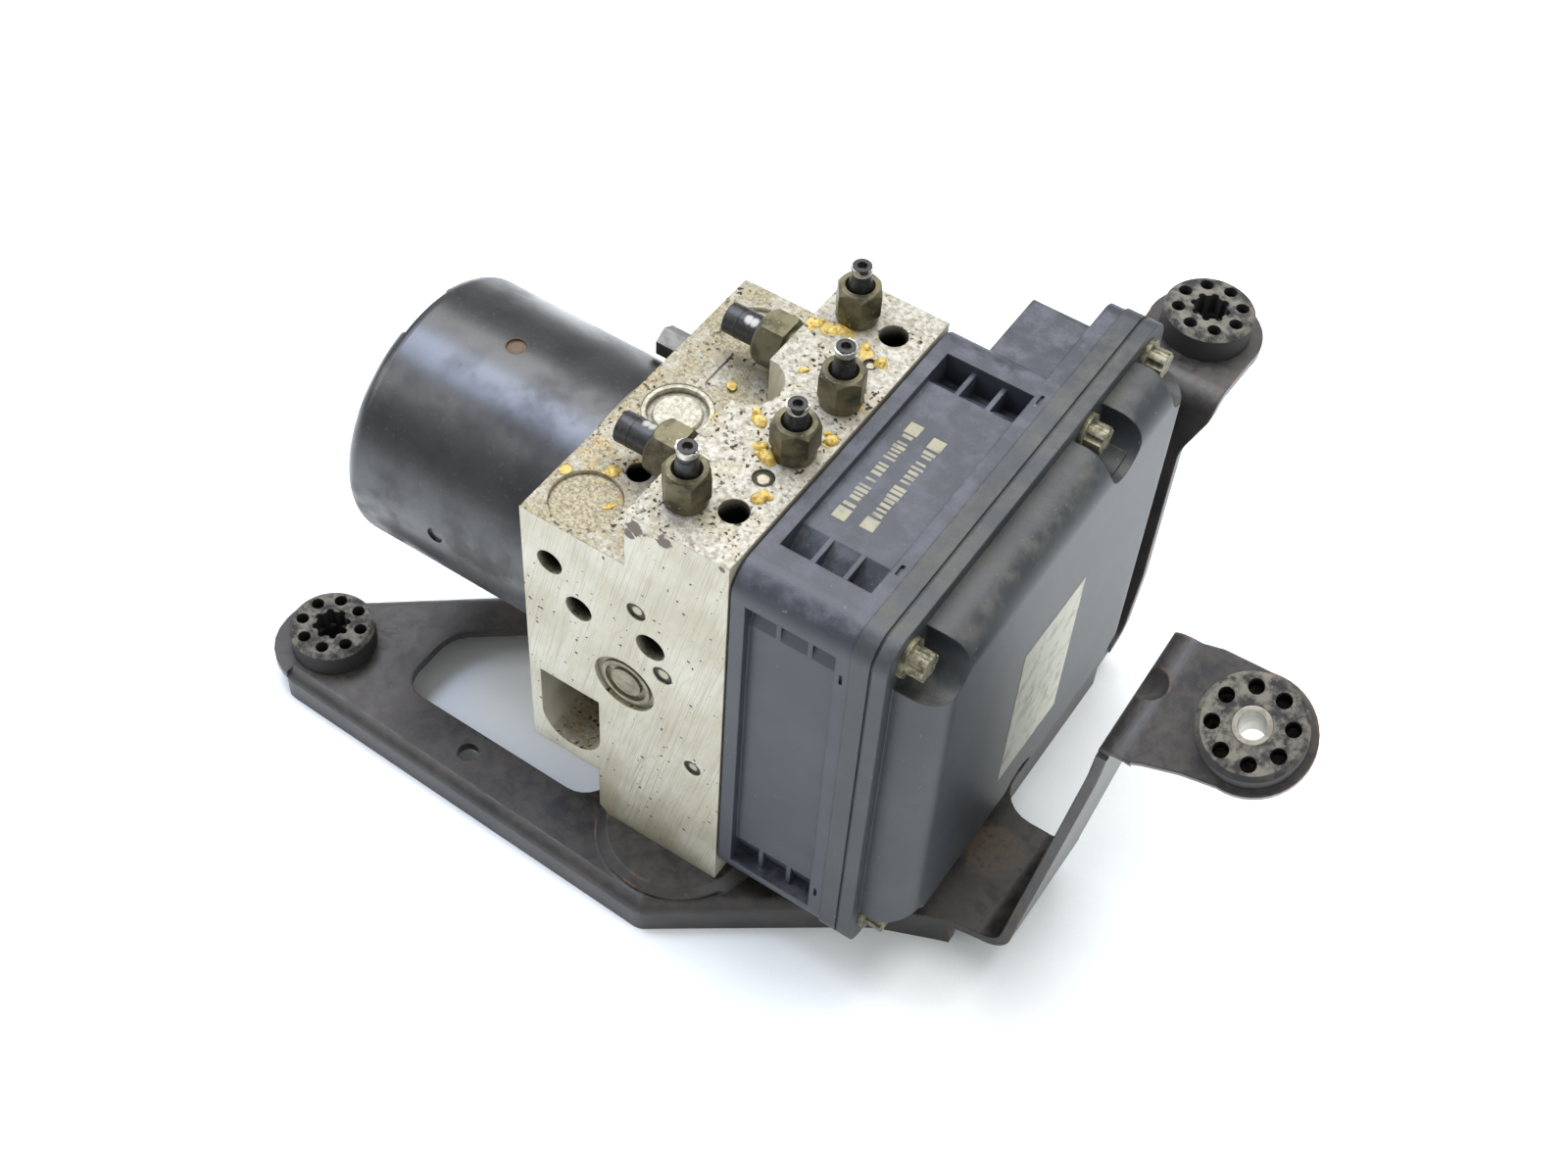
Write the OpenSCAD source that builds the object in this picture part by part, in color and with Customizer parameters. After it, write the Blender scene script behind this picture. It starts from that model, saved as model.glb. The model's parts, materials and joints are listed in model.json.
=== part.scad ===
// Brake hydraulic unit: pump motor, valve block and electronic control unit on a sheet steel bracket.
// Lengths are millimetres. X runs from the motor to the control unit, Y runs to the back, Z is up.
// The origin is the centre of the left rubber mount. Inside the modules, places are counted from the
// block's corner on the motor side at the front, and heights from the floor.

/* [Valve block] */
// Width of the block, front to back
block_w = 100; // [94:1:110]
// Depth of the block, from the motor to the control unit
block_d = 62; // [60:1:68]
// Height of the low deck above the foot
block_h = 117.5; // [114:0.5:124]
// Height of the plateau above the low deck
plateau_h = 19.5; // [17:0.5:24]
// Set-back of the plateau from the motor side
plateau_x = 32; // [31:0.5:33]
// Set-back of the foot from the motor side
foot_x = 22.4; // [18:0.2:24]
// Height of the undercut above the foot
undercut_h = 20.3; // [16:0.1:22]
// Bevel on the plateau's front edge
bevel = 2.4; // [1:0.2:3]

/* [Brake pipes] */
// Width across flats of the four wheel line nuts
line_nut_af = 11; // [10:0.5:12]
// Thread diameter of the wheel line nuts
line_thread_d = 10; // [9:0.5:10]
// Height of the hexagon of a line nut
nut_hex_h = 8.2; // [7:0.2:9]
// Outer diameter of a coated wheel line
line_d = 4.9; // [4.5:0.1:5.5]
// Width across flats of the two master line nuts
master_nut_af = 14; // [13:0.5:15]
// Thread diameter of the master line nuts
master_thread_d = 10; // [9:0.5:10.5]
// Outer diameter of a sleeved master line
master_line_d = 8.6; // [7:0.2:9]
// Distance of the outer line nuts from the block's ends
outer_port_y = 12; // [11:0.5:13]
// Distance of the inner line nuts from the middle of the block
inner_port_y = 10.5; // [9.5:0.5:11.5]

/* [Pump and accumulators] */
// Diameter of a pump piston
piston_d = 7; // [6:0.2:8]
// Throw of the eccentric
throw = 1; // [0.6:0.1:1.4]
// Diameter of the pump plugs
pump_plug_d = 18.8; // [17:0.2:20]
// Outer diameter of the eccentric's ring
ring_d = 18; // [17:0.5:19]
// Diameter of the caps on the low deck
cap_d = 19; // [18:0.2:20]
// Diameter of an accumulator piston
acc_d = 16; // [14:0.5:17]
// Travel of an accumulator piston
acc_travel = 5; // [3:0.5:6]

/* [Motor] */
// Outer diameter of the motor can
motor_d = 80; // [76:1:83]
// Length of the motor can
motor_len = 72; // [68:1:90]
// Height of the motor axis above the block's foot
motor_h = 68; // [66:0.5:70]
// Wall of the can
can_wall = 2; // [1.5:0.1:2.5]
// Diameter of the motor shaft
shaft_d = 8; // [7:0.5:9]
// Thickness of the magnets
magnet_t = 6; // [4:0.5:7]

/* [Control unit] */
// Depth of the housing, block to seam
housing_d = 33.2; // [32:0.2:38]
// Width of the housing body
housing_w = 103; // [102:1:106]
// Width of the cover and its flange
cover_w = 137; // [132:1:145]
// Height of the control unit
ecu_h = 130.6; // [128:0.2:134]
// Thickness of the cover's flange
flange_t = 9.8; // [8:0.2:12]
// Height of the cover's dome over the flange
dome_h = 12.8; // [10:0.2:16]
// Corner radius of the housing
corner_r = 8; // [6:0.5:9]

/* [Bracket] */
// Thickness of the sheet
sheet_t = 3; // [2.4:0.1:3.6]
// Height of the pressed seats under the block
seat_h = 3.5; // [3:0.1:4]
// Outer face of the right arm at its foot, from the block's corner
right_arm_x = 140.4; // [136:0.2:146]
// Gap between the cover and the rear arm
rear_arm_gap = 10; // [9:0.5:16]
// Tilt of the right arm's tab
tab_tilt = 27; // [20:1:34]

/* [Rubber mounts] */
// Outer diameter of a rubber mount
mount_d = 25.6; // [24:0.2:27]
// Height of a rubber mount
mount_h = 20; // [18:0.5:22]
// Diameter of the neck that sits in the sheet
neck_d = 17; // [15:0.5:18]
// Diameter of the bore
bore_d = 9.2; // [8.6:0.1:10]
// Diameter of the ring of cells, centre to centre
cell_ring_d = 17.9; // [17:0.1:19]
// Diameter of a cell
cell_d = 3.8; // [3:0.1:4.2]
// Inner diameter of the steel sleeve in the right mount
sleeve_bore_d = 6.6; // [6:0.1:7]

/* [Hidden] */
$fn = 48;

// Radial clearance of a seated piece, and of a piece that moves
seat_gap = 0.05;
run_gap = 0.04;
free_gap = 0.5;
eps = 0.01;
// Step between the leaning wall and the bend that takes it up
skin = 0.06;

// Heights above the floor
plate_h = (mount_h + sheet_t) / 2;
foot_z = plate_h + seat_h;
under_z = foot_z + undercut_h;
deck_z = foot_z + block_h;
top_z = deck_z + plateau_h;
axis_y = block_w / 2;
axis_z = foot_z + motor_h;

// Left mount, from the block's corner
left_x = -80;
left_y = 4;

// Line ports on the plateau: x, y and the height of the cut pipe above its nut
line_x_out = block_d - 20.5;
line_x_in = block_d - 8;
lines = [
    [line_x_out, outer_port_y, 7.5],
    [line_x_in, axis_y - inner_port_y, 6],
    [line_x_in, axis_y + inner_port_y, 8],
    [line_x_out, block_w - outer_port_y, 6.5]
];
port_depth = 9;
collar_h = 3;
nut_chamfer = 1.7;
// Master ports in the plateau's wall
master_z = deck_z + plateau_h / 2;
master_ys = [outer_port_y + 17.5, block_w - outer_port_y - 11];
wrench_d = 17;
master_depth = 9;
master_pipe_len = 13;

// Open holes and ball plugs on the plateau: x, y, diameter
open_hole_x = block_d - 9.2;
open_hole_ys = [15.5, block_w - 12.5];
open_hole_d = 7.8;
open_hole_depth = 14;
ball_tops = [[block_d - 9.4, 28.3, 5.8], [block_d - 8.7, block_w - 24.5, 4]];
// Holes in the front face: x, drop below the low deck, diameter
front_holes = [[8.7, 15.7, 7.8], [17.4, 28.3, 8.2], [39.7, 27.5, 8.8]];
front_plugs = [[35.4, 16.1, 5.8], [43.5, 36.3, 6], [53.4, 69.8, 5.4]];
front_hole_depth = 12;
deck_hole = [17.5, 26.3, 6.6];

// Pump
pump_x = 31.5;
plug_depth = 8;
chamber_d = piston_d + 4.2;
spring_room = 12;
cavity_d = 2 * (ring_d / 2 + throw + 3);
ring_w = 9;
journal_d = ring_d - 6;
piston_reach = axis_y - ring_d / 2 - throw - 0.3;
piston_head_t = 2;
piston_head_y = plug_depth + spring_room - piston_head_t - throw - 0.6;

// Closing caps on the low deck: x, y
deck_caps = [[12, 11.4], [13, 49.4], [13.6, block_w - 15.4]];
cap_t = 4;
cap_sink = 1.2;
cap_room = 5.2;

// Accumulators under the foot
acc_x = foot_x + 19.6;
acc_ys = [axis_y - 17, axis_y + 17];
acc_cap_z = foot_z + 0.8;
acc_piston_h = 6;
acc_spring_room = 7 + acc_travel;
acc_top = acc_cap_z + cap_t + acc_spring_room + acc_piston_h + 0.3;

// Motor
can_r = motor_d / 2;
can_in = can_r - can_wall;
notch_w = 20;
notch_t = 2.8;
// Dimples in the can: distance from its back, angle from its top, diameter
can_dimples = [[31.5, -0.8, 5.6], [32.7, 88.8, 5]];
end_plate_t = 6;
magnet_in = can_in - magnet_t;
arm_r = magnet_in - 1;
arm_x = -motor_len + 20;

bearing_w = 7;
front_bearing_d = shaft_d + 12;
rear_bearing_d = shaft_d + 7;
com_d = shaft_d + 12;
com_x = -14.5;
com_len = 8;
arm_len = com_x - com_len - 0.5 + 4 - arm_x;
motor_screw_r = can_r + 5.5;
motor_screw_a = [42, 240, 300];
motor_thread_d = 5;
motor_thread_len = 10;
motor_head_af = 8;
motor_head_h = 9.5;
motor_washer_d = 10;
motor_washer_t = 1.2;
terminal_z = axis_z - cavity_d / 2 - 8;
terminal_d = 5;

// Valves
coil_d = 19;
coil_room_y = 5.5;
valve_pitch_y = (block_w - 2 * coil_room_y - coil_d - 2 * free_gap) / 3;
valve_ys = [for (i = [-1.5 : 1 : 1.5]) axis_y + i * valve_pitch_y];
valve_zs = [deck_z - 5, deck_z - 27, foot_z + 31];
valve_d = 11;
valve_depth = 15;
dome_tube_d = 8;
coil_h = 19;
dome_tube_h = coil_h + 2.5;

// Control unit
gasket_t = 0.8;
ecu_x = block_d + gasket_t;
seam_x = ecu_x + housing_d;
cover_x = seam_x + flange_t;
ecu_z0 = top_z - ecu_h - 0.7;
ecu_z1 = ecu_z0 + ecu_h;
back_flange_t = 4.6;
pcb_t = 1.6;
pcb_room = 2.8;
room_y0 = 14;
room_y1 = cover_w - 14;
room_z0 = ecu_z0 + 14;
room_z1 = ecu_z1 - 14;
screw_in = 9;
cover_screw_d = 4;
cover_flange_d = 10.6;
cover_head_d = 7.6;
cover_screw_at = [
    [screw_in, ecu_z1 - screw_in + 1], [cover_w * 0.69, ecu_z1 - screw_in + 2],
    [cover_w - screw_in, ecu_z1 - screw_in + 1], [screw_in, ecu_z0 + screw_in - 1],
    [cover_w / 2, ecu_z0 + screw_in - 2], [cover_w - screw_in, ecu_z0 + screw_in - 1]
];
panel_x0 = ecu_x + 4;
panel_x1 = seam_x - 4;
panel_sink = 2.4;
rib_t = 1.4;
// Connector on the back of the housing
plug_x0 = ecu_x + 10;
plug_y1 = cover_w - 9;
plug_z0 = ecu_z0 + 34;
plug_z1 = ecu_z1 - 5;
plug_wall = 2.2;
socket_y0 = housing_w + 1.4;
socket_y1 = plug_y1 - plug_wall;

// Bracket
bend_in = 6;
bend_out = bend_in + sheet_t;
right_x0 = right_arm_x - bend_out;
right_lean = 7.1;
// Centre of the right mount, counted from the arm
right_c = [right_arm_x + 40.1, 37.5, 140.8];
rear_arm_y = cover_w + rear_arm_gap;
rear_y0 = rear_arm_y - bend_in;
rear_c = [106.4, rear_arm_y + 25.5, 116.5];
tab_in = 5;
tab_out = tab_in + sheet_t;
// The right tab meets the leaning wall along a slanting line, at this angle in the tab's plane
fold_a = atan(tan(right_lean) * sin(tab_tilt));
fold_turn = acos(sin(right_lean) * cos(tab_tilt));
fold_z = -sheet_t / 2 - tab_in;
fold_front = -20.8;
fold_rear = 12;
// Distance of the right mount's centre from the wall's outer face
fold_reach = (right_c[0] - right_arm_x + sheet_t) * cos(right_lean)
    - (right_c[2] - plate_h - bend_in) * sin(right_lean);
fold_x = -(fold_reach - tab_out - fold_z * cos(fold_turn)) / sin(fold_turn);
seat_r = 21;
seat_x = block_d - 18;
seat_ys = [9, block_w - 9];
bolt_d = 8;

// Outline of the bracket's base: x, y and corner radius, anticlockwise
base_outline = [
    [-97, -13, 16], [49, -18.5, 5], [103, 20, 40], [right_x0 - 8, 28.5, 20], [right_x0, 29.5, 0],
    [right_x0, 69.5, 0], [114, 69.5, 11], [114, rear_y0, 0], [86, rear_y0, 0],
    [86, block_w + 4, 9], [20, block_w + 4, 11], [-97.5, 11, 14]
];
window_outline = [[-53.5, 3.2, 8], [18, 2, 9], [18, block_w - 17, 9], [-53.5, 27, 12]];

function unit(v) = v / norm(v);
function left_of(v) = [-v[1], v[0]];

// Moves corner i of an anticlockwise outline inwards by d, and keeps its arc concentric
function inset_corner(p, i, d) =
    let(
        n = len(p),
        here = [p[i][0], p[i][1]],
        before = [p[(i + n - 1) % n][0], p[(i + n - 1) % n][1]],
        after = [p[(i + 1) % n][0], p[(i + 1) % n][1]],
        n1 = left_of(unit(here - before)),
        n2 = left_of(unit(after - here)),
        turn = n1[0] * n2[1] - n1[1] * n2[0],
        r = p[i][2] == 0 ? 0 : max(0, turn > 0 ? p[i][2] - d : p[i][2] + d),
        q = here + (n1 + n2) * d / (1 + n1 * n2)
    )
    [q[0], q[1], r];

// Points of the arc that rounds corner i of an outline
function corner_points(p, i, steps) =
    let(
        n = len(p),
        here = [p[i][0], p[i][1]],
        a = unit([p[(i + n - 1) % n][0], p[(i + n - 1) % n][1]] - here),
        b = unit([p[(i + 1) % n][0], p[(i + 1) % n][1]] - here),
        r = p[i][2]
    )
    r == 0 ? [here] :
    let(
        half = acos(a * b) / 2,
        c = here + unit(a + b) * r / sin(half),
        a0 = atan2((here + a * r / tan(half) - c)[1], (here + a * r / tan(half) - c)[0]),
        a1 = atan2((here + b * r / tan(half) - c)[1], (here + b * r / tan(half) - c)[0]),
        sweep = (a1 - a0 + 540) % 360 - 180
    )
    [for (k = [0 : steps]) c + r * [cos(a0 + sweep * k / steps), sin(a0 + sweep * k / steps)]];

function rounded(p, steps = 6) = [for (i = [0 : len(p) - 1]) each corner_points(p, i, steps)];
function inset(p, d) = [for (i = [0 : len(p) - 1]) inset_corner(p, i, d)];

// Moves from the block's corner on the floor to the model's origin
module at_block() {
    translate([-left_x, -left_y, -mount_h / 2]) children();
}

module x_rod(d, x0, x1, y, z) {
    translate([x0, y, z]) rotate([0, 90, 0]) cylinder(h = x1 - x0, d = d);
}

module y_rod(d, y0, y1, x, z) {
    translate([x, y0, z]) rotate([-90, 0, 0]) cylinder(h = y1 - y0, d = d);
}

module z_rod(d, z0, z1, x, y) {
    translate([x, y, z0]) cylinder(h = z1 - z0, d = d);
}

// Turned form along X: points are radius and distance along the axis
module x_turned(points, y, z) {
    translate([0, y, z]) rotate([0, 90, 0]) rotate_extrude() polygon(points);
}

module rounded_panel(y0, y1, z0, z1, r) {
    translate([y0 + r, z0]) square([y1 - y0 - 2 * r, z1 - z0]);
    translate([y0, z0 + r]) square([y1 - y0, z1 - z0 - 2 * r]);
    for (y = [y0 + r, y1 - r], z = [z0 + r, z1 - r])
        translate([y, z]) circle(r);
}

// Extrudes a drawing of Y and Z along X
module along_x(x0, x1) {
    translate([x0, 0, 0]) rotate([90, 0, 90]) linear_extrude(x1 - x0) children();
}

// Extrudes a drawing of X and Z along Y
module along_y(y0, y1) {
    translate([0, y1, 0]) rotate([90, 0, 0]) linear_extrude(y1 - y0) children();
}

module hexagon_rod(af, h) {
    cylinder(h = h, d = af / cos(30), $fn = 6);
}

// Round wire wound as a spring from z = 0 to z = h
module spring(coil_r, wire_r, turns, h) {
    sides = 6;
    steps = 16 * turns;
    rise = h - 2 * wire_r;
    ring = [for (i = [0 : steps]) each
        let(a = 360 * turns * i / steps, z = wire_r + rise * i / steps)
        [for (j = [0 : sides - 1])
            let(b = 360 * j / sides, r = coil_r + wire_r * cos(b))
            [r * cos(a), r * sin(a), z + wire_r * sin(b)]]];
    walls = [for (i = [0 : steps - 1], j = [0 : sides - 1])
        let(k = i * sides + j, l = i * sides + (j + 1) % sides)
        [k, k + sides, l + sides, l]];
    ends = [[for (j = [0 : sides - 1]) j], [for (j = [sides - 1 : -1 : 0]) steps * sides + j]];
    polyhedron(points = ring, faces = concat(walls, ends), convexity = 8);
}

module block_profile() {
    polygon([
        [0, under_z], [foot_x, under_z], [foot_x, foot_z + 2.6], [foot_x + 3, foot_z],
        [block_d, foot_z], [block_d, top_z], [plateau_x, top_z], [plateau_x, deck_z], [0, deck_z]
    ]);
}

module pump_bores() {
    for (s = [0, 1]) {
        translate([0, s * block_w, 0]) mirror([0, s, 0]) {
            y_rod(pump_plug_d + 2 * seat_gap, -eps, plug_depth, pump_x, axis_z);
            y_rod(chamber_d, plug_depth - eps, plug_depth + spring_room, pump_x, axis_z);
            y_rod(piston_d + 2 * run_gap, plug_depth, axis_y, pump_x, axis_z);
        }
    }
}

module valve_block() {
    color("gainsboro") at_block() difference() {
        along_y(0, block_w) block_profile();
        // Bevel along the plateau's front edge
        translate([plateau_x - eps, 0, top_z - bevel]) rotate([45, 0, 0])
            translate([0, -bevel * 2, 0]) cube([block_d, bevel * 2, bevel * 2]);
        // Round wrench clearance cut into the plateau's wall
        z_rod(wrench_d, deck_z + eps, top_z + eps, plateau_x, axis_y + 3.6);
        // Shallow milled pocket round the rear master nut
        translate([0, 0, deck_z - 0.6]) linear_extrude(2) polygon(rounded([
            [deck_caps[1][0], axis_y + 9.8, 3], [plateau_x - eps, axis_y + 9.8, 0],
            [plateau_x - eps, axis_y + 36, 0], [deck_caps[1][0], axis_y + 36, 8]
        ]));
        // Milled recess in the front face
        along_y(-eps, 22) {
            translate([3.5, axis_z - 33.2]) square([19.5, 18]);
            translate([13.25, axis_z - 33.2]) circle(d = 19.5);
        }
        for (h = front_holes) y_rod(h[2], -eps, front_hole_depth, h[0], deck_z - h[1]);
        for (h = front_plugs) y_rod(h[2], -eps, 4, h[0], deck_z - h[1]);
        for (y = open_hole_ys) z_rod(open_hole_d, top_z - open_hole_depth, top_z + eps, open_hole_x, y);
        for (b = ball_tops) z_rod(b[2], top_z - 4, top_z + eps, b[0], b[1]);
        z_rod(deck_hole[2], deck_z - 9, deck_z + eps, deck_hole[0], deck_hole[1]);
        for (p = lines) z_rod(line_thread_d + 2 * seat_gap, top_z - port_depth, top_z + eps, p[0], p[1]);
        for (y = master_ys)
            x_rod(master_thread_d + 2 * seat_gap, plateau_x - eps, plateau_x + master_depth, y, master_z);
        pump_bores();
        // Cavity of the eccentric, and the passage of the motor's contact
        x_rod(cavity_d, -eps, pump_x + ring_w, axis_y, axis_z);
        x_rod(terminal_d + 2 * free_gap, -eps, block_d + eps, axis_y, terminal_z);
        for (c = deck_caps) {
            z_rod(cap_d + 2 * seat_gap, deck_z - cap_sink - cap_t, deck_z + eps, c[0], c[1]);
            z_rod(cap_d - 3, deck_z - cap_sink - cap_t - cap_room, deck_z, c[0], c[1]);
        }
        for (y = acc_ys) {
            z_rod(cap_d + 2 * seat_gap, foot_z - eps, acc_cap_z + cap_t, acc_x, y);
            z_rod(acc_d + 2 * run_gap, foot_z, acc_top, acc_x, y);
        }
        for (y = valve_ys, z = valve_zs)
            x_rod(valve_d + 2 * seat_gap, block_d - valve_depth, block_d + eps, y, z);
        for (y = seat_ys) z_rod(bolt_d + 2 * seat_gap, foot_z - eps, foot_z + 12, seat_x, y);
        for (a = motor_screw_a)
            x_rod(motor_thread_d + 2 * seat_gap, -eps, motor_thread_len + 1, axis_y + motor_screw_r * cos(a),
                axis_z + motor_screw_r * sin(a));
    }
}

// Stepped plug that closes a pump bore, with rings and a round head
module pump_plug() {
    rotate([-90, 0, 0]) rotate_extrude() polygon([
        [0, 0.6], [4.6, 0.6], [4.6, 1.6], [6.4, 1.6], [6.4, 0.5], [7.6, 0.5], [7.6, 1.4],
        [pump_plug_d / 2, 1.4], [pump_plug_d / 2, plug_depth], [0, plug_depth]
    ]);
}

module pump_plug_front() {
    color("darkkhaki") at_block() translate([pump_x, 0, axis_z]) pump_plug();
}

module pump_plug_rear() {
    color("darkkhaki") at_block() translate([pump_x, block_w, axis_z]) mirror([0, 1, 0]) pump_plug();
}

module plain_cap(c, z) {
    z_rod(cap_d, z, z + cap_t, c[0], c[1]);
}

module deck_cap_front() {
    color("tan") at_block() plain_cap(deck_caps[0], deck_z - cap_sink - cap_t);
}

module deck_cap_rear() {
    color("tan") at_block() plain_cap(deck_caps[2], deck_z - cap_sink - cap_t);
}

// Cap with a raised rim and a raised middle
module deck_cap_middle() {
    color("silver") at_block() translate([deck_caps[1][0], deck_caps[1][1], deck_z - cap_sink - cap_t])
        rotate_extrude() polygon([
            [0, 0], [cap_d / 2, 0], [cap_d / 2, cap_t + 0.9], [cap_d / 2 - 1.2, cap_t + 0.9],
            [cap_d / 2 - 1.2, cap_t - 1], [cap_d / 2 - 2.7, cap_t - 1], [cap_d / 2 - 3.3, cap_t], [0, cap_t]
        ]);
}

module accumulator_cap_front() {
    color("silver") at_block() plain_cap([acc_x, acc_ys[0]], acc_cap_z);
}

module accumulator_cap_rear() {
    color("silver") at_block() plain_cap([acc_x, acc_ys[1]], acc_cap_z);
}

module ball_plugs() {
    color("silver") at_block() {
        for (b = ball_tops) z_rod(b[2] - 2 * seat_gap, top_z - 4, top_z - 0.5, b[0], b[1]);
        for (h = front_plugs) y_rod(h[2] - 2 * seat_gap, 0.5, 4, h[0], deck_z - h[1]);
    }
}

// Tube nut: threaded shank, round collar, chamfered hexagon and a countersunk mouth round the pipe
module tube_nut(af, thread_d, pipe_d, shank) {
    tip_r = af / cos(30) / 2 + 0.1;
    difference() {
        union() {
            translate([0, 0, -shank]) cylinder(h = shank + collar_h + eps, d = thread_d);
            translate([0, 0, 0.6]) cylinder(h = collar_h - 0.6, d = thread_d + 1.2);
            translate([0, 0, collar_h]) intersection() {
                hexagon_rod(af, nut_hex_h);
                rotate_extrude() polygon([
                    [0, 0], [tip_r - 0.5, 0], [tip_r, 0.5], [tip_r, nut_hex_h - nut_chamfer],
                    [af / 2 - 0.3, nut_hex_h], [0, nut_hex_h]
                ]);
            }
        }
        translate([0, 0, -shank - eps])
            cylinder(h = shank + collar_h + nut_hex_h + 1, d = pipe_d + 2 * seat_gap);
        translate([0, 0, collar_h + nut_hex_h - 3.4])
            cylinder(h = 3.4 + eps, d1 = pipe_d + 2 * seat_gap, d2 = pipe_d + 2.8);
    }
}

// Rigid brake pipe with its flared end in the port, cut off above the nut
module cut_pipe(pipe_d, shank, out) {
    difference() {
        translate([0, 0, -shank]) cylinder(h = shank + collar_h + nut_hex_h + out, d = pipe_d);
        translate([0, 0, -shank - eps])
            cylinder(h = shank + collar_h + nut_hex_h + out + 1, d = pipe_d * 0.52);
    }
}

module line_nut(i) {
    color("darkkhaki") at_block() translate([lines[i][0], lines[i][1], top_z]) rotate([0, 0, 14 + 17 * i])
        tube_nut(line_nut_af, line_thread_d, line_d, port_depth - 1);
}

module line_pipe(i) {
    color("dimgray") at_block() translate([lines[i][0], lines[i][1], top_z])
        cut_pipe(line_d, port_depth - 1, lines[i][2]);
}

module line_nut_1() { line_nut(0); }
module line_nut_2() { line_nut(1); }
module line_nut_3() { line_nut(2); }
module line_nut_4() { line_nut(3); }
module line_pipe_1() { line_pipe(0); }
module line_pipe_2() { line_pipe(1); }
module line_pipe_3() { line_pipe(2); }
module line_pipe_4() { line_pipe(3); }

module master_nut(i) {
    color("darkkhaki") at_block() translate([plateau_x, master_ys[i], master_z]) rotate([0, -90, 0])
        rotate([0, 0, 30]) tube_nut(master_nut_af, master_thread_d, 6, master_depth - 1);
}

// Master line: thin in the nut, sleeved outside it
module master_pipe(i) {
    color("dimgray") at_block() translate([plateau_x, master_ys[i], master_z]) rotate([0, -90, 0])
        difference() {
            union() {
                translate([0, 0, 1 - master_depth])
                    cylinder(h = master_depth - 1 + collar_h + nut_hex_h + 1, d = 6);
                translate([0, 0, collar_h + nut_hex_h + 0.1])
                    cylinder(h = master_pipe_len - 2.5, d = master_line_d);
            }
            translate([0, 0, -master_depth]) cylinder(h = 60, d = 3.4);
        }
}

module master_nut_front() { master_nut(0); }
module master_nut_rear() { master_nut(1); }
module master_pipe_front() { master_pipe(0); }
module master_pipe_rear() { master_pipe(1); }

// Piston with a head that its spring pushes on
module pump_piston() {
    y_rod(piston_d, piston_head_y, piston_reach, pump_x, axis_z);
    y_rod(chamber_d - 1, piston_head_y, piston_head_y + piston_head_t, pump_x, axis_z);
}

module pump_piston_front() {
    color("silver") at_block() pump_piston();
}

module pump_piston_rear() {
    color("silver") at_block() translate([0, block_w, 0]) mirror([0, 1, 0]) pump_piston();
}

module pump_spring() {
    translate([pump_x, plug_depth + 0.1, axis_z]) rotate([-90, 0, 0])
        spring(chamber_d / 2 - 1.4, 0.6, 3, piston_head_y - plug_depth - 0.2);
}

module pump_spring_front() {
    color("gray") at_block() pump_spring();
}

module pump_spring_rear() {
    color("gray") at_block() translate([0, block_w, 0]) mirror([0, 1, 0]) pump_spring();
}

// Piston with a hollow underside for its spring and a groove for its ring
module accumulator_piston(y) {
    z0 = acc_top - 0.3 - acc_piston_h;
    difference() {
        z_rod(acc_d, z0, z0 + acc_piston_h, acc_x, y);
        z_rod(acc_d - 3, z0 - 1, z0 + acc_piston_h - 2.6, acc_x, y);
        difference() {
            z_rod(acc_d + 1, z0 + 3.2, z0 + 4.8, acc_x, y);
            z_rod(acc_d - 1.4, z0 + 3, z0 + 5, acc_x, y);
        }
    }
}

module accumulator_piston_front() {
    color("silver") at_block() accumulator_piston(acc_ys[0]);
}

module accumulator_piston_rear() {
    color("silver") at_block() accumulator_piston(acc_ys[1]);
}

module accumulator_spring(y) {
    z0 = acc_cap_z + cap_t + 0.1;
    translate([acc_x, y, z0]) spring(acc_d / 2 - 3, 0.8, 4, acc_top - 0.3 - 2.6 - 0.1 - z0);
}

module accumulator_spring_front() {
    color("gray") at_block() accumulator_spring(acc_ys[0]);
}

module accumulator_spring_rear() {
    color("gray") at_block() accumulator_spring(acc_ys[1]);
}

// Shaft with its eccentric journal, turned so that the journal stands up at rest
module rotor_shaft() {
    color("silver") at_block() {
        x_rod(shaft_d, -motor_len + can_wall + 0.6, pump_x + ring_w / 2 + 2, axis_y, axis_z);
        x_rod(journal_d, pump_x - ring_w / 2 - 1, pump_x + ring_w / 2 + 1, axis_y, axis_z + throw);
    }
}

module eccentric_ring() {
    color("lightgray") at_block() difference() {
        x_rod(ring_d, pump_x - ring_w / 2, pump_x + ring_w / 2, axis_y, axis_z + throw);
        x_rod(journal_d + 2 * run_gap, pump_x - ring_w, pump_x + ring_w, axis_y, axis_z + throw);
    }
}

// Laminated core with winding slots, and the winding heads at both ends
module armature() {
    color("saddlebrown") at_block() difference() {
        union() {
            x_rod(2 * arm_r, arm_x, arm_x + arm_len - 8, axis_y, axis_z);
            x_rod(2 * arm_r - 9, arm_x - 4, arm_x + arm_len - 4, axis_y, axis_z);
        }
        x_rod(shaft_d + 2 * seat_gap, arm_x - 5, arm_x + arm_len, axis_y, axis_z);
        for (a = [0 : 30 : 330])
            translate([arm_x - 1, axis_y, axis_z]) rotate([a, 0, 0]) translate([0, -1.1, arm_r - 3.5])
                cube([arm_len - 6, 2.2, 5]);
    }
}

module commutator() {
    color("peru") at_block() difference() {
        x_rod(com_d, com_x - com_len, com_x, axis_y, axis_z);
        x_rod(shaft_d + 2 * seat_gap, com_x - com_len - 1, com_x + 1, axis_y, axis_z);
        for (a = [0 : 30 : 330])
            translate([com_x - com_len - 1, axis_y, axis_z]) rotate([a, 0, 0])
                translate([0, -0.3, com_d / 2 - 1]) cube([com_len + 2, 0.6, 2]);
    }
}

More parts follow.
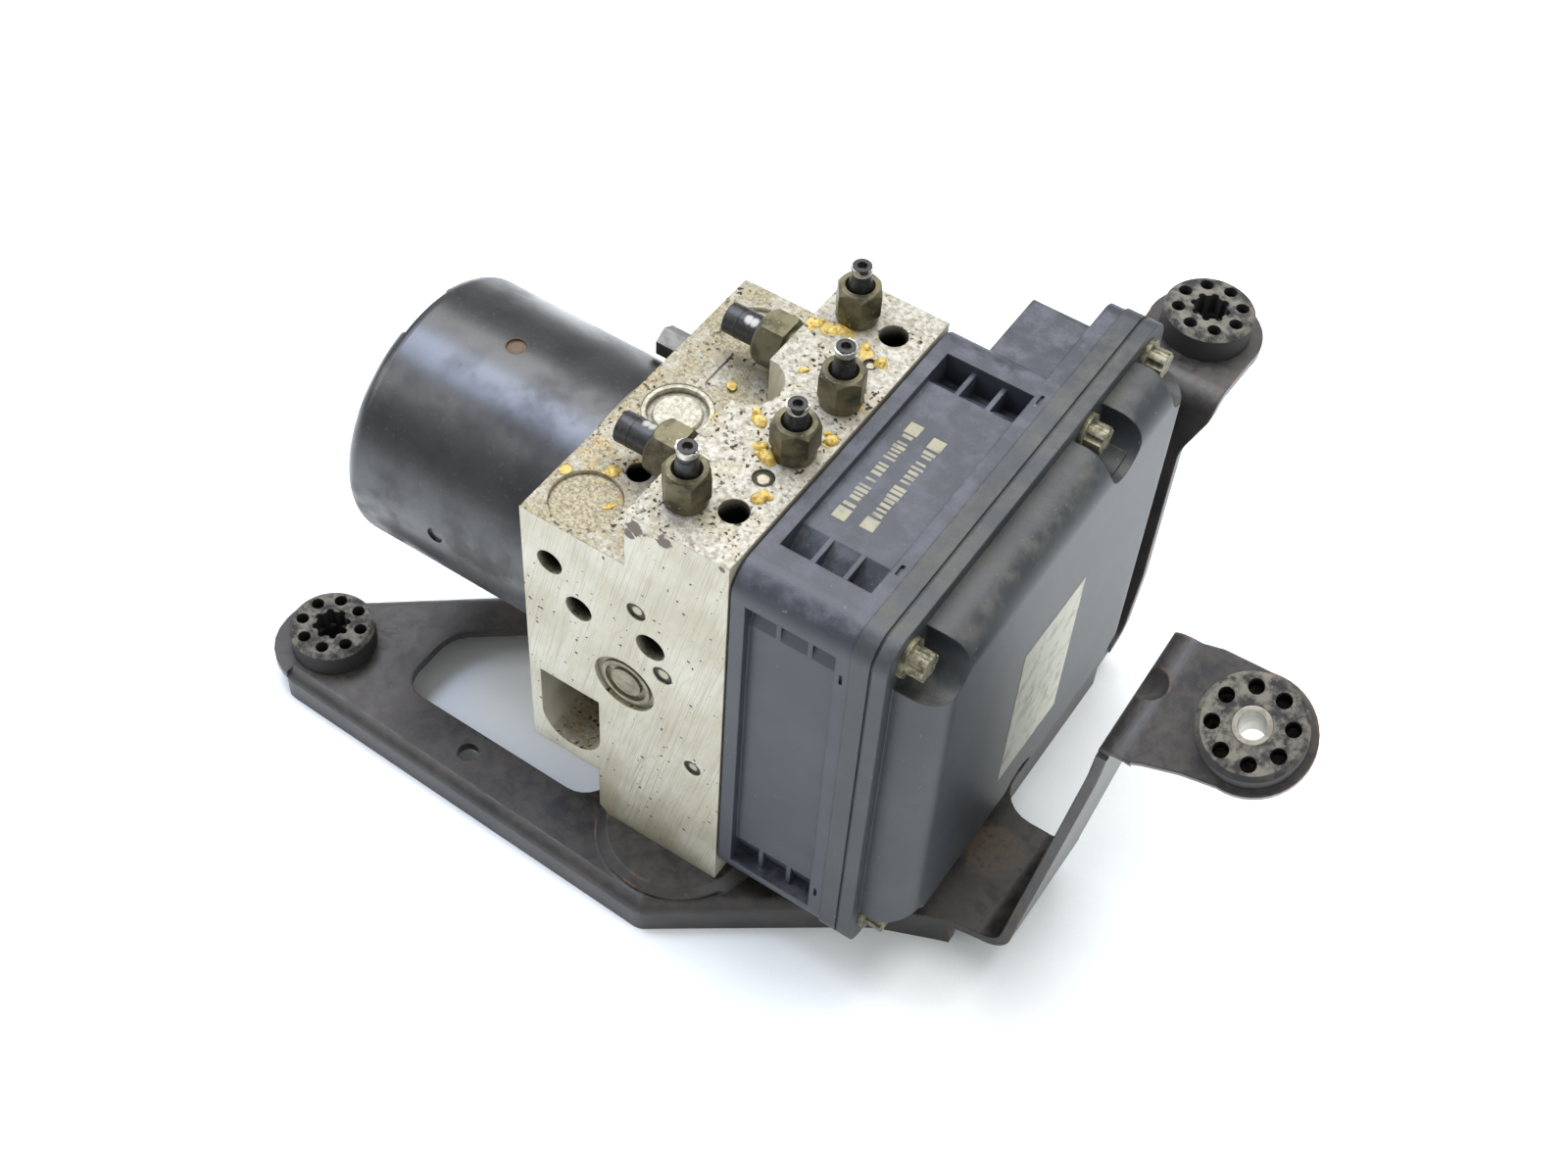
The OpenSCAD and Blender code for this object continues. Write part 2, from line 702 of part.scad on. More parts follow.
// Deep-drawn can with a rounded rear rim, a notch in the rim and two dimples
module motor_can() {
    rim = 5;
    back = -motor_len;
    color("dimgray") at_block() difference() {
        x_turned(concat(
            [[0, back], [can_r - rim, back]],
            [for (a = [-80 : 10 : 0]) [can_r - rim + rim * cos(a), back + rim + rim * sin(a)]],
            [
                [can_r, -end_plate_t], [can_in, -end_plate_t], [can_in, back + rim + 3],
                [can_in - 7, back + can_wall], [0, back + can_wall]
            ]
        ), axis_y, axis_z);
        // Notch in the rim, and the two dimples
        translate([back - 1, axis_y, axis_z]) rotate([2, 0, 0])
            translate([0, -notch_w / 2, can_r - 7]) cube([notch_t + 1, notch_w, 8]);
        for (d = can_dimples)
            translate([-motor_len + d[0], axis_y, axis_z]) rotate([d[1], 0, 0])
                translate([0, 0, can_r - 0.8]) cylinder(h = 3, d = d[2]);
    }
}

// Two curved magnets glued inside the can
module motor_magnets() {
    color("darkslategray") at_block() intersection() {
        difference() {
            x_rod(2 * (can_in - 0.1), arm_x - 6, arm_x + arm_len - 4, axis_y, axis_z);
            x_rod(2 * magnet_in, arm_x - 7, arm_x + arm_len, axis_y, axis_z);
        }
        for (s = [-1, 1])
            translate([arm_x - 7, axis_y + (s < 0 ? -can_r : 6), axis_z - 30])
                cube([arm_len + 8, can_r - 6, 60]);
    }
}

// End plate with the bearing hub and an ear for each screw
module motor_end_plate() {
    color("gray") at_block() difference() {
        union() {
            x_rod(motor_d, -end_plate_t, 0, axis_y, axis_z);
            x_rod(cavity_d - 2 * seat_gap, -end_plate_t, 6, axis_y, axis_z);
            along_x(-end_plate_t, 0) translate([axis_y, axis_z]) for (a = motor_screw_a) rotate(a) {
                translate([motor_screw_r, 0]) circle(5.5);
                translate([20, -4.5]) square([motor_screw_r - 20, 9]);
            }
        }
        x_rod(front_bearing_d + 2 * seat_gap, -end_plate_t - eps, bearing_w - end_plate_t, axis_y, axis_z);
        x_rod(shaft_d + 3, -end_plate_t - eps, 10, axis_y, axis_z);
        x_rod(terminal_d + 2 * free_gap, -end_plate_t - eps, 1, axis_y, terminal_z);
        for (a = motor_screw_a)
            x_rod(motor_thread_d + 0.4, -end_plate_t - eps, 1, axis_y + motor_screw_r * cos(a),
                axis_z + motor_screw_r * sin(a));
    }
}

module front_bearing() {
    color("silver") at_block() difference() {
        x_rod(front_bearing_d, -end_plate_t, bearing_w - end_plate_t - 0.05, axis_y, axis_z);
        x_rod(shaft_d + 2 * run_gap, -end_plate_t - 1, bearing_w, axis_y, axis_z);
    }
}

module rear_bearing() {
    back = -motor_len + can_wall;
    color("peru") at_block() difference() {
        x_rod(rear_bearing_d, back, back + bearing_w, axis_y, axis_z);
        x_rod(shaft_d + 2 * run_gap, back + 0.4, back + bearing_w + 1, axis_y, axis_z);
    }
}

// Insulating disc that carries the brushes on the end plate
module brush_holder() {
    x0 = com_x - com_len;
    color("sienna") at_block() difference() {
        union() {
            x_rod(2 * (can_in - 0.3), -end_plate_t - 3, -end_plate_t - 0.05, axis_y, axis_z);
            for (s = [-1, 1])
                translate([x0, axis_y + (s > 0 ? com_d / 2 + 3 : -com_d / 2 - 15), axis_z - 5])
                    cube([-x0 - end_plate_t - 1, 12, 10]);
        }
        x_rod(com_d + 2, x0 - 1, 0, axis_y, axis_z);
        for (s = [-1, 1])
            translate([x0 - 1, axis_y + (s > 0 ? com_d / 2 : -com_d / 2 - 13), axis_z - 3.05])
                cube([com_len + 0.3, 13, 6.1]);
        x_rod(terminal_d + 2 * seat_gap, -end_plate_t - 4, 0, axis_y, terminal_z);
    }
}

module brushes() {
    color("black") at_block() for (s = [-1, 1])
        translate([com_x - com_len + 0.4, axis_y + (s > 0 ? com_d / 2 + 0.3 : -com_d / 2 - 12.3), axis_z - 3])
            cube([com_len - 1.4, 12, 6]);
}

// Contact that leads from the brush holder through the block to the control unit
module motor_terminal() {
    color("goldenrod") at_block()
        x_rod(terminal_d, -end_plate_t - 3, block_d + 6, axis_y, terminal_z);
}

module motor_screws() {
    color("dimgray") at_block() for (a = motor_screw_a)
        translate([0, axis_y + motor_screw_r * cos(a), axis_z + motor_screw_r * sin(a)]) {
            x_rod(motor_thread_d, -end_plate_t - eps, motor_thread_len, 0, 0);
            x_rod(motor_washer_d, -end_plate_t - motor_washer_t, -end_plate_t, 0, 0);
            translate([-end_plate_t - motor_head_h, 0, 0]) rotate([0, 90, 0])
                hexagon_rod(motor_head_af, motor_head_h);
        }
}

// Pressed-in solenoid valves: body in the block, closed tube outside it
module valve_cartridges() {
    color("silver") at_block() for (y = valve_ys, z = valve_zs)
        x_turned([
            [0, block_d - valve_depth + 0.2], [3, block_d - valve_depth + 0.2],
            [valve_d / 2, block_d - valve_depth + 3],
            [valve_d / 2, block_d], [dome_tube_d / 2, block_d], [dome_tube_d / 2, block_d + dome_tube_h - 2],
            [2, block_d + dome_tube_h], [0, block_d + dome_tube_h]
        ], y, z);
}

module solenoid_coils() {
    color("darkolivegreen") at_block() for (y = valve_ys, z = valve_zs) difference() {
        union() {
            x_rod(coil_d, ecu_x + 0.4, ecu_x + 1.8, y, z);
            x_rod(coil_d - 2.6, ecu_x + 1.8, ecu_x + coil_h - 1.8, y, z);
            x_rod(coil_d, ecu_x + coil_h - 1.8, ecu_x + coil_h - 0.4, y, z);
        }
        x_rod(dome_tube_d + 2 * seat_gap, ecu_x - 1, ecu_x + coil_h + 1, y, z);
    }
}

// Openings of the coil room and the circuit room, shared by the housing and what seals to it
module coil_room_outline(grow = 0) {
    rounded_panel(
        coil_room_y - grow, block_w - coil_room_y + grow, foot_z + 19 - grow, ecu_z1 - 10.5 + grow, 4
    );
}

module circuit_room_outline(grow = 0) {
    rounded_panel(room_y0 - grow, room_y1 + grow, room_z0 - grow, room_z1 + grow, 5);
}

module block_gasket() {
    color("black") at_block() along_x(block_d, ecu_x) difference() {
        coil_room_outline(3);
        coil_room_outline(0.4);
    }
}

// Pocket with a sloping floor, deepest at y = 0, between ribs of the given width
module sloping_pockets(length, depth) {
    w = (panel_x1 - panel_x0 - 2 * rib_t) / 3;
    for (i = [0 : 2])
        along_x(panel_x0 + i * (w + rib_t), panel_x0 + i * (w + rib_t) + w)
            polygon([[0, eps], [0, -depth], [1.5, -depth], [length, eps]]);
}

// Recess in the top of the housing, with three ribbed pockets at each end
module top_recess() {
    y0 = 14;
    y1 = housing_w - 12;
    z = ecu_z1 - panel_sink;
    translate([panel_x0, y0, z]) cube([panel_x1 - panel_x0, y1 - y0, panel_sink + 1]);
    translate([0, y0, z]) sloping_pockets(10.5, 7);
    translate([0, y1, z]) mirror([0, 1, 0]) sloping_pockets(9, 7);
    for (y = [22, housing_w - 14])
        translate([seam_x - 2.6, y, ecu_z1 - 0.8]) cube([0.9, 3.4, 2]);
}

// Recess in the front of the housing, drawn as the top one and turned over the edge
module front_recess() {
    z0 = ecu_z0 + 9;
    z1 = ecu_z1 - 9.5;
    translate([panel_x0, -1, z0]) cube([panel_x1 - panel_x0, panel_sink + 1, z1 - z0]);
    translate([0, panel_sink, z1]) rotate([-90, 0, 0]) mirror([0, 0, 1]) sloping_pockets(9, 2.8);
    translate([0, panel_sink, z0]) rotate([90, 0, 0]) sloping_pockets(9, 2.8);
    for (z = [z0 + 7, z1 - 9])
        translate([seam_x - 2.6, -1, z]) cube([0.9, 1.8, 3.4]);
}

module ecu_housing() {
    color("slategray") at_block() difference() {
        union() {
            along_x(ecu_x, seam_x) rounded_panel(0, housing_w, ecu_z0, ecu_z1, corner_r);
            along_x(seam_x - back_flange_t, seam_x) rounded_panel(0, cover_w, ecu_z0, ecu_z1, corner_r);
            along_x(plug_x0, seam_x - back_flange_t + eps)
                rounded_panel(housing_w - 8, plug_y1, plug_z0, plug_z1, 3);
        }
        along_x(ecu_x - 1, seam_x - pcb_room - 2.4) coil_room_outline();
        along_x(seam_x - pcb_room, seam_x + 1) circuit_room_outline();
        x_rod(terminal_d + 2, seam_x - 8, seam_x, axis_y, terminal_z);
        top_recess();
        front_recess();
        // Socket of the connector, open towards the motor
        along_x(plug_x0 - 1, seam_x - back_flange_t - 0.6)
            rounded_panel(socket_y0, socket_y1, plug_z0 + plug_wall, plug_z1 - plug_wall, 2);
        for (p = pin_at) translate([seam_x - 12, p[0] - 0.45, p[1] - 0.45]) cube([12, 0.9, 0.9]);
        seal_groove(0.1);
        for (s = cover_screw_at) x_rod(cover_screw_d + 2 * seat_gap, seam_x - 4, seam_x + 1, s[0], s[1]);
    }
}

// Pins of the connector: two columns
pin_pitch = 4.6;
pin_rows = 17;
pin_at = [for (c = [0.31, 0.69], i = [0 : pin_rows - 1])
    [socket_y0 + (socket_y1 - socket_y0) * c, (plug_z0 + plug_z1) / 2 + (i - (pin_rows - 1) / 2) * pin_pitch]];

module connector_pins() {
    color("gold") at_block() for (p = pin_at)
        translate([plug_x0 + 7, p[0] - 0.4, p[1] - 0.4])
            cube([seam_x - plug_x0 - 7 - pcb_room + 0.2, 0.8, 0.8]);
}

module circuit_board() {
    color("darkgreen") at_block() difference() {
        union() {
            along_x(seam_x - pcb_room + 0.3, seam_x - pcb_room + 0.3 + pcb_t) circuit_room_outline(-1);
            for (i = [0 : 3])
                translate([seam_x - pcb_room + 0.3 + pcb_t - eps, 24 + i * 24, axis_z - 20 + 14 * (i % 2)])
                    cube([3 + i % 2, 15, 18]);
        }
        x_rod(terminal_d + 2, seam_x - 8, seam_x + 8, axis_y, terminal_z);
    }
}

// Groove and seal run round the circuit room
module seal_groove(clear) {
    along_x(seam_x - 1 - clear, seam_x + eps) difference() {
        circuit_room_outline(3.2 + clear);
        circuit_room_outline(1.6 - clear);
    }
}

module cover_seal() {
    color("black") at_block() along_x(seam_x - 1, seam_x) difference() {
        circuit_room_outline(3.2);
        circuit_room_outline(1.6);
    }
}

// Block with rounded corners and a rounded rim on its outer face
module dome(x1, y0, y1, z0, z1, r) {
    along_x(cover_x - 1, x1 - r) rounded_panel(y0, y1, z0, z1, r);
    along_x(cover_x - 1, x1) translate([y0 + r, z0 + r]) square([y1 - y0 - 2 * r, z1 - z0 - 2 * r]);
    for (z = [z0 + r, z1 - r]) y_rod(2 * r, y0 + r, y1 - r, x1 - r, z);
    for (y = [y0 + r, y1 - r]) z_rod(2 * r, z0 + r, z1 - r, x1 - r, y);
    for (y = [y0 + r, y1 - r], z = [z0 + r, z1 - r]) translate([x1 - r, y, z]) sphere(r);
}

// Cover: grooved flange, rounded dome cut back round each screw
module ecu_cover() {
    color("darkslategray") at_block() difference() {
        union() {
            along_x(seam_x, cover_x) rounded_panel(-0.4, cover_w + 0.4, ecu_z0 - 0.5, ecu_z1 + 0.5, corner_r);
            dome(cover_x + dome_h, 3.4, cover_w - 3.4, ecu_z0 + 3.6, ecu_z1 - 3.6, 9);
        }
        // Inside of the cover
        along_x(seam_x - 1, cover_x + dome_h - 2.6) circuit_room_outline();
        // Groove round the flange
        along_x(seam_x + flange_t * 0.52, seam_x + flange_t * 0.6) difference() {
            rounded_panel(-2, cover_w + 2, ecu_z0 - 2, ecu_z1 + 2, corner_r);
            rounded_panel(0.3, cover_w - 0.3, ecu_z0 + 0.2, ecu_z1 - 0.2, corner_r - 0.7);
        }
        for (s = cover_screw_at) {
            x_rod(17, cover_x, cover_x + dome_h + 5, s[0], s[1]);
            x_rod(cover_screw_d + 2 * seat_gap, seam_x - 1, cover_x + 1, s[0], s[1]);
        }
    }
}

// Screws with a washer flange and a six-lobed head
module cover_screws() {
    color("darkkhaki") at_block() for (s = cover_screw_at) translate([0, s[0], s[1]]) {
        x_rod(cover_screw_d, seam_x - 3.5, cover_x + 1, 0, 0);
        x_rod(cover_flange_d, cover_x, cover_x + 1.2, 0, 0);
        difference() {
            x_rod(cover_head_d, cover_x + 1.2 - eps, cover_x + 6, 0, 0);
            for (a = [0 : 60 : 300]) rotate([a, 0, 0]) x_rod(2.2, cover_x + 1.3, cover_x + 7, 0, 4.2);
        }
    }
}

// Rounds the bend along the straight edge of the base that follows corner i
module bend_round(i, r) {
    a = corner_points(base_outline, i, 1)[1];
    b = corner_points(base_outline, i + 1, 1)[0];
    c = r - 0.2;
    translate([a[0], a[1], plate_h]) rotate([0, 0, atan2(b[1] - a[1], b[0] - a[0])])
        translate([-2, 0, 0]) rotate([90, 0, 90])
        linear_extrude(norm(b - a) + (i == 1 ? 2.3 : 4)) difference() {
            translate([-1, -c]) square([c + 1, c + 1]);
            translate([c, -c]) circle(r);
        }
}

// Base of the bracket: a tray with its rim turned down to the floor
module bracket_base() {
    rim_r = 5;
    difference() {
        union() {
            linear_extrude(plate_h) polygon(rounded(base_outline));
            intersection() {
                linear_extrude(foot_z) polygon(rounded(base_outline));
                for (y = seat_ys) translate([seat_x, y, plate_h - 1])
                    cylinder(h = seat_h + 1, r1 = seat_r + 4, r2 = seat_r);
            }
        }
        translate([0, 0, -eps]) linear_extrude(plate_h - sheet_t + eps)
            polygon(rounded(inset(base_outline, sheet_t)));
        translate([0, 0, -eps]) linear_extrude(plate_h + 1) polygon(rounded(window_outline));
        intersection() {
            linear_extrude(foot_z) polygon(rounded(inset(base_outline, sheet_t)));
            for (y = seat_ys) translate([seat_x, y, plate_h - sheet_t - 1])
                cylinder(h = seat_h + 1, r1 = seat_r + 1, r2 = seat_r - 3);
        }
        // Rounded bends of the long rims
        bend_round(0, rim_r);
        bend_round(1, rim_r);
        bend_round(10, rim_r);
        // The rim is open where the left mount hangs through, and where the arms turn up
        translate([-100, -15.5 + sheet_t, -1]) cube([28, 34, plate_h - sheet_t + 1]);
        translate([-100, -20, -1]) cube([16, 50, plate_h - sheet_t + 1]);
        translate([right_x0 - 8, 25 + sheet_t, -1]) cube([20, 50, plate_h - sheet_t + 1]);
        translate([86 - 1, rear_y0 - 8, -1]) cube([40, 20, plate_h - sheet_t + 1]);
        z_rod(neck_d + 2 * seat_gap, -1, plate_h + 1, left_x, left_y);
        z_rod(6.2, -1, plate_h + 1, -22, -4.6);
    }
}

// Quarter of a bend, centred on the drawing's origin, in the given quadrant
module bend_quarter(r_in, r_out, qx, qz) {
    intersection() {
        difference() {
            circle(r_out);
            circle(r_in);
        }
        translate([qx < 0 ? -r_out - 1 : 0, qz < 0 ? -r_out - 1 : 0]) square(r_out + 1);
    }
}

// Place in Y and Z of a point of the right tab's own plane: v across it, w out of it
function tab_point(v, w) = [
    right_c[1] + v * cos(tab_tilt) - w * sin(tab_tilt), right_c[2] + v * sin(tab_tilt) + w * cos(tab_tilt)
];

// Points of an arc round the origin, from angle a0 to angle a1
function arc(r, a0, a1, steps = 12) = [
    for (i = [0 : steps]) let (a = a0 + (a1 - a0) * i / steps) [r * cos(a), r * sin(a)]
];

// Profile of the right tab's fold, from the tab over the bend and a little way down the wall
module fold_profile() {
    down = 5 * [-cos(fold_turn), -sin(fold_turn)];
    end = [-sin(fold_turn), cos(fold_turn)];
    translate([fold_x, fold_z]) polygon(concat(
        [[1, tab_out]], arc(tab_out, 90, 90 + fold_turn), [tab_out * end + down, tab_in * end + down],
        arc(tab_in, 90 + fold_turn, 90), [[1, tab_in]]
    ));
}

// Right arm: leaning wall, then a tab turned outwards along a slanting line
module right_arm() {
    wall_x = right_x0 + bend_in;
    wall_z = plate_h + bend_in;
    rise = 140;
    lean = tan(right_lean);
    top_rear = tab_point(fold_rear - 0.5, fold_z - 2);
    top_front = tab_point(fold_front + 0.5, fold_z - 2);
    intersection() {
        along_y(0, 90) {
            translate([right_x0 - 1, plate_h - sheet_t]) square([1, sheet_t]);
            translate([right_x0, wall_z]) bend_quarter(bend_in, bend_out, 1, -1);
            polygon([
                [wall_x, wall_z], [wall_x + sheet_t, wall_z], [wall_x + sheet_t - skin + lean, wall_z + 1],
                [wall_x + sheet_t - skin + rise * lean, wall_z + rise],
                [wall_x + skin + rise * lean, wall_z + rise], [wall_x + skin + lean, wall_z + 1]
            ]);
        }
        along_x(right_x0 - 2, right_x0 + 60) polygon(rounded([
            [29.5, 0, 0], [69.5, 0, 0], [69, 88, 40], [57, 126, 30], [top_rear[0], top_rear[1], 0],
            [top_front[0], top_front[1], 0], [29.5, 106, 24], [30, 60, 0]
        ], 5));
    }
    translate(right_c) rotate([tab_tilt, 0, 0]) difference() {
        rotate([0, 0, -fold_a]) union() {
            along_y(fold_front, fold_rear) fold_profile();
            translate([0, 0, -sheet_t / 2]) linear_extrude(sheet_t) {
                circle(14.8);
                polygon(rounded([
                    [fold_x, fold_front, 0], [fold_x + 3, fold_front + 1.4, 4], [-9, -16.6, 20], [0, -14.7, 0],
                    [0, 14.7, 0], [fold_x + 5, 13.4, 6], [fold_x, fold_rear, 0]
                ], 4));
            }
        }
        z_rod(neck_d + 2 * seat_gap, -3, 3, 0, 0);
        // Dent pressed across the middle of the bend
        rotate([0, 0, -fold_a]) translate([fold_x - 8.6, -2, fold_z + 8.6]) rotate([0, 45, 0])
            cylinder(h = 30, r = 6, center = true);
    }
}

// Rear arm: upright wall behind the control unit, with a tab turned back at the top
module rear_arm() {
    tab_z = rear_c[2];
    turn_z = tab_z - sheet_t / 2 - tab_in;
    turn_y = rear_y0 + bend_out + tab_in;
    intersection() {
        along_x(80, 130) {
            translate([rear_y0 - 1, plate_h - sheet_t]) square([1, sheet_t]);
            translate([rear_y0, plate_h + bend_in]) bend_quarter(bend_in, bend_out, 1, -1);
            translate([rear_y0 + bend_in, plate_h + bend_in]) square([sheet_t, turn_z - plate_h - bend_in]);
            translate([turn_y, turn_z]) bend_quarter(tab_in, tab_out, -1, 1);
            translate([turn_y, tab_z - sheet_t / 2]) square([1, sheet_t]);
        }
        along_y(0, rear_arm_y + 40) polygon(rounded([
            [86, 0, 0], [114, 0, 0], [116, 40, 0], [116, 96, 20], [122, 112, 10], [122, 125, 0], [91, 125, 0],
            [89, 96, 0]
        ], 4));
    }
    difference() {
        translate([0, 0, tab_z - sheet_t / 2]) linear_extrude(sheet_t) {
            translate([rear_c[0], rear_c[1]]) circle(16.4);
            polygon([
                [91, turn_y], [122, turn_y], [rear_c[0] + 16.2, rear_c[1] - 2], [rear_c[0] - 16.2, rear_c[1] - 2]
            ]);
        }
        z_rod(neck_d + 2 * seat_gap, tab_z - 4, tab_z + 4, rear_c[0], rear_c[1]);
    }
}

module bracket() {
    color("darkslategray") at_block() difference() {
        union() {
            bracket_base();
            right_arm();
            rear_arm();
        }
        for (y = seat_ys) z_rod(bolt_d + 0.8, -1, foot_z + 1, seat_x, y);
    }
}

module bracket_bolts() {
    color("gray") at_block() for (y = seat_ys) {
        z_rod(bolt_d, foot_z - sheet_t - eps, foot_z + 11.5, seat_x, y);
        translate([seat_x, y, foot_z - sheet_t - 5.3]) hexagon_rod(13, 5.3);
    }
}

// Rubber mount, centred on the sheet: two flanges, a neck, a bore and a ring of blind cells
module rubber_mount(fluted) {
    r = mount_d / 2;
    h = mount_h / 2;
    s = sheet_t / 2 + seat_gap;
    cell_depth = h - s - 1.5;
    difference() {
        rotate_extrude() polygon([
            [bore_d / 2, -h], [r - 1.2, -h], [r, 1.2 - h], [r, -s], [neck_d / 2, -s], [neck_d / 2, s],
            [r, s], [r, h - 1.2], [r - 1.2, h], [bore_d / 2, h]
        ]);
        for (a = [0 : 45 : 315], side = [0, 1]) rotate([0, 0, a + 22.5]) mirror([0, 0, side]) {
            translate([cell_ring_d / 2, 0, h - cell_depth]) cylinder(h = cell_depth + 1, d = cell_d);
            if (fluted) rotate([0, 0, 22.5]) translate([bore_d / 2, 0, h - cell_depth])
                cylinder(h = cell_depth + 1, d = 2.2);
        }
    }
}

module mount_left() {
    color("black") at_block() translate([left_x, left_y, plate_h - sheet_t / 2]) rubber_mount(true);
}

module mount_rear() {
    color("black") at_block() translate(rear_c) rotate([0, 0, 10]) rubber_mount(true);
}

module mount_right() {
    color("black") at_block() translate(right_c) rotate([tab_tilt, 0, 0]) rubber_mount(false);
}

module mount_sleeve() {
    color("silver") at_block() translate(right_c) rotate([tab_tilt, 0, 0]) difference() {
        cylinder(h = mount_h, d = bore_d - 2 * seat_gap, center = true);
        cylinder(h = mount_h + 1, d = sleeve_bore_d, center = true);
    }
}

valve_block();
pump_plug_front();
pump_plug_rear();
deck_cap_front();
deck_cap_middle();
deck_cap_rear();
accumulator_cap_front();
accumulator_cap_rear();
ball_plugs();
line_nut_1();
line_nut_2();
line_nut_3();
line_nut_4();
line_pipe_1();
line_pipe_2();
line_pipe_3();
line_pipe_4();
master_nut_front();
master_nut_rear();
master_pipe_front();
master_pipe_rear();
pump_piston_front();
pump_piston_rear();
pump_spring_front();
pump_spring_rear();
accumulator_piston_front();
accumulator_piston_rear();
accumulator_spring_front();
accumulator_spring_rear();
rotor_shaft();
eccentric_ring();
armature();
commutator();
motor_can();
motor_magnets();
motor_end_plate();
front_bearing();
rear_bearing();
brush_holder();
brushes();
motor_terminal();
motor_screws();
valve_cartridges();
solenoid_coils();
block_gasket();
ecu_housing();
connector_pins();
circuit_board();
cover_seal();
ecu_cover();
cover_screws();
bracket();
bracket_bolts();
mount_left();
mount_rear();
mount_right();
mount_sleeve();
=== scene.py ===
# %% [markdown]
# # The looks of a brake hydraulic unit
#
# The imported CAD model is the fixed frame. This script gives every piece a procedural material,
# models the small things that the CAD leaves out, and sets up a plain studio with the photo's
# camera. All lengths are metres.

# %% Load the frame
import json
import math
import random

import bmesh
import bpy
from mathutils import Matrix, Vector


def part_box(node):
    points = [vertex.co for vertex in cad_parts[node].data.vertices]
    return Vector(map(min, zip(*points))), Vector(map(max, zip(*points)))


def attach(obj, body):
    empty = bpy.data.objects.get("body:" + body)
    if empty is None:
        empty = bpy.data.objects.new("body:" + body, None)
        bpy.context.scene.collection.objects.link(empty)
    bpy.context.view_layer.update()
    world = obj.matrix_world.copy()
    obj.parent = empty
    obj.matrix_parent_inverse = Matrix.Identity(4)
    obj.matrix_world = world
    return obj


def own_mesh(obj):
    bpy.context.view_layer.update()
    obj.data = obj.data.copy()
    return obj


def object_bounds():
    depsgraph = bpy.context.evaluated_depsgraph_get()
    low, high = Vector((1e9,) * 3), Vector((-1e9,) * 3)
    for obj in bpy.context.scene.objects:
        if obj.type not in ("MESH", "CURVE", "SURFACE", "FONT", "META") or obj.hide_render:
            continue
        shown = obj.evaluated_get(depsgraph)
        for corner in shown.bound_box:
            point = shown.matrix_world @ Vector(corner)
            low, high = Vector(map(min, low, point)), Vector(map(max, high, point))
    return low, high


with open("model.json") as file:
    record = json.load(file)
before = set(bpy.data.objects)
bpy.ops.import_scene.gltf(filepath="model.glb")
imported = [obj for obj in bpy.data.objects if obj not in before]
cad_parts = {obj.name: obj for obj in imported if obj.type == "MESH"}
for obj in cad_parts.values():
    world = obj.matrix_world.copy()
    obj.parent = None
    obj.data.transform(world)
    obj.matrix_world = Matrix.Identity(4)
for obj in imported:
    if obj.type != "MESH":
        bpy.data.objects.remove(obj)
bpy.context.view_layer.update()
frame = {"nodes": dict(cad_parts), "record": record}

NODES = frame["nodes"]

# %% [markdown]
# ## Colours and nodes
#
# Colours are written as the hex values that a screen shows, and `linear` turns them into the
# linear values that shaders use.
#
# A material is a chain of shader nodes. They could be placed one by one in the editor. Here one
# function, `add`, makes a node from a recipe and wires its inputs: a value is set on the socket,
# and another node's output is linked to it. A recipe holds the node's kind, the sockets that are
# filled in order, the output that is used, and the settings. The scale of `NOISE` is written as
# 1 / size, where size is how wide its blotches are in metres. `SMOOTH` is 0 below its first limit
# and 1 above its second. With the larger limit first it runs the other way.

# %% Recipes for shader nodes
NOISE = ("TexNoise", ("Vector", "Scale", "Detail", "Roughness", "Distortion"), "Fac", {})
SMOOTH = ("MapRange", ("Value", "From Min", "From Max"), 0, {"interpolation_type": "SMOOTHSTEP"})
MIX = ("Mix", (0, 6, 7), 2, {"data_type": "RGBA"})
MULTIPLY = ("Math", (0, 1), 0, {"operation": "MULTIPLY"})
ADD = ("Math", (0, 1), 0, {"operation": "ADD"})
SUBTRACT = ("Math", (0, 1), 0, {"operation": "SUBTRACT"})
MAXIMUM = ("Math", (0, 1), 0, {"operation": "MAXIMUM"})
DISTANCE = ("VectorMath", (0, 1), "Value", {"operation": "DISTANCE"})
DOT_PRODUCT = ("VectorMath", (0, 1), "Value", {"operation": "DOT_PRODUCT"})
PLACE = ("TexCoord", (), "Object", {})
FACING = ("TexCoord", (), "Normal", {})
TRUE_NORMAL = ("NewGeometry", (), "Normal", {})
Y_OF = ("SeparateXYZ", (0,), 1, {})
Z_OF = ("SeparateXYZ", (0,), 2, {})
TURN = ("Mapping", ("Vector", "Rotation"), 0, {})
STRETCH = ("Mapping", ("Vector", "Scale"), 0, {})
ROUNDED = ("Bevel", ("Radius",), 0, {"samples": 4})
BUMP = ("Bump", ("Height", "Distance", "Normal"), 0, {})
OPENNESS = ("AmbientOcclusion", ("Distance",), "AO", {})
DIFFUSE = ("BsdfDiffuse", ("Color",), 0, {})
EMISSION = ("Emission", ("Color", "Strength"), 0, {})
CAMERA_RAY = ("LightPath", (), "Is Camera Ray", {})
GLOSSY_RAY = ("LightPath", (), "Is Glossy Ray", {})
MIX_SHADER = ("MixShader", (0, 1, 2), 0, {})
ADD_SHADER = ("AddShader", (0, 1), 0, {})
print("recipes ready, from", NOISE[0], "to", ADD_SHADER[0])


# %% Helpers for colours and nodes
def linear(code):
    out = []
    for i in (0, 2, 4):
        c = int(code[i : i + 2], 16) / 255
        out.append(c / 12.92 if c <= 0.04045 else ((c + 0.055) / 1.055) ** 2.4)
    return (*out, 1.0)


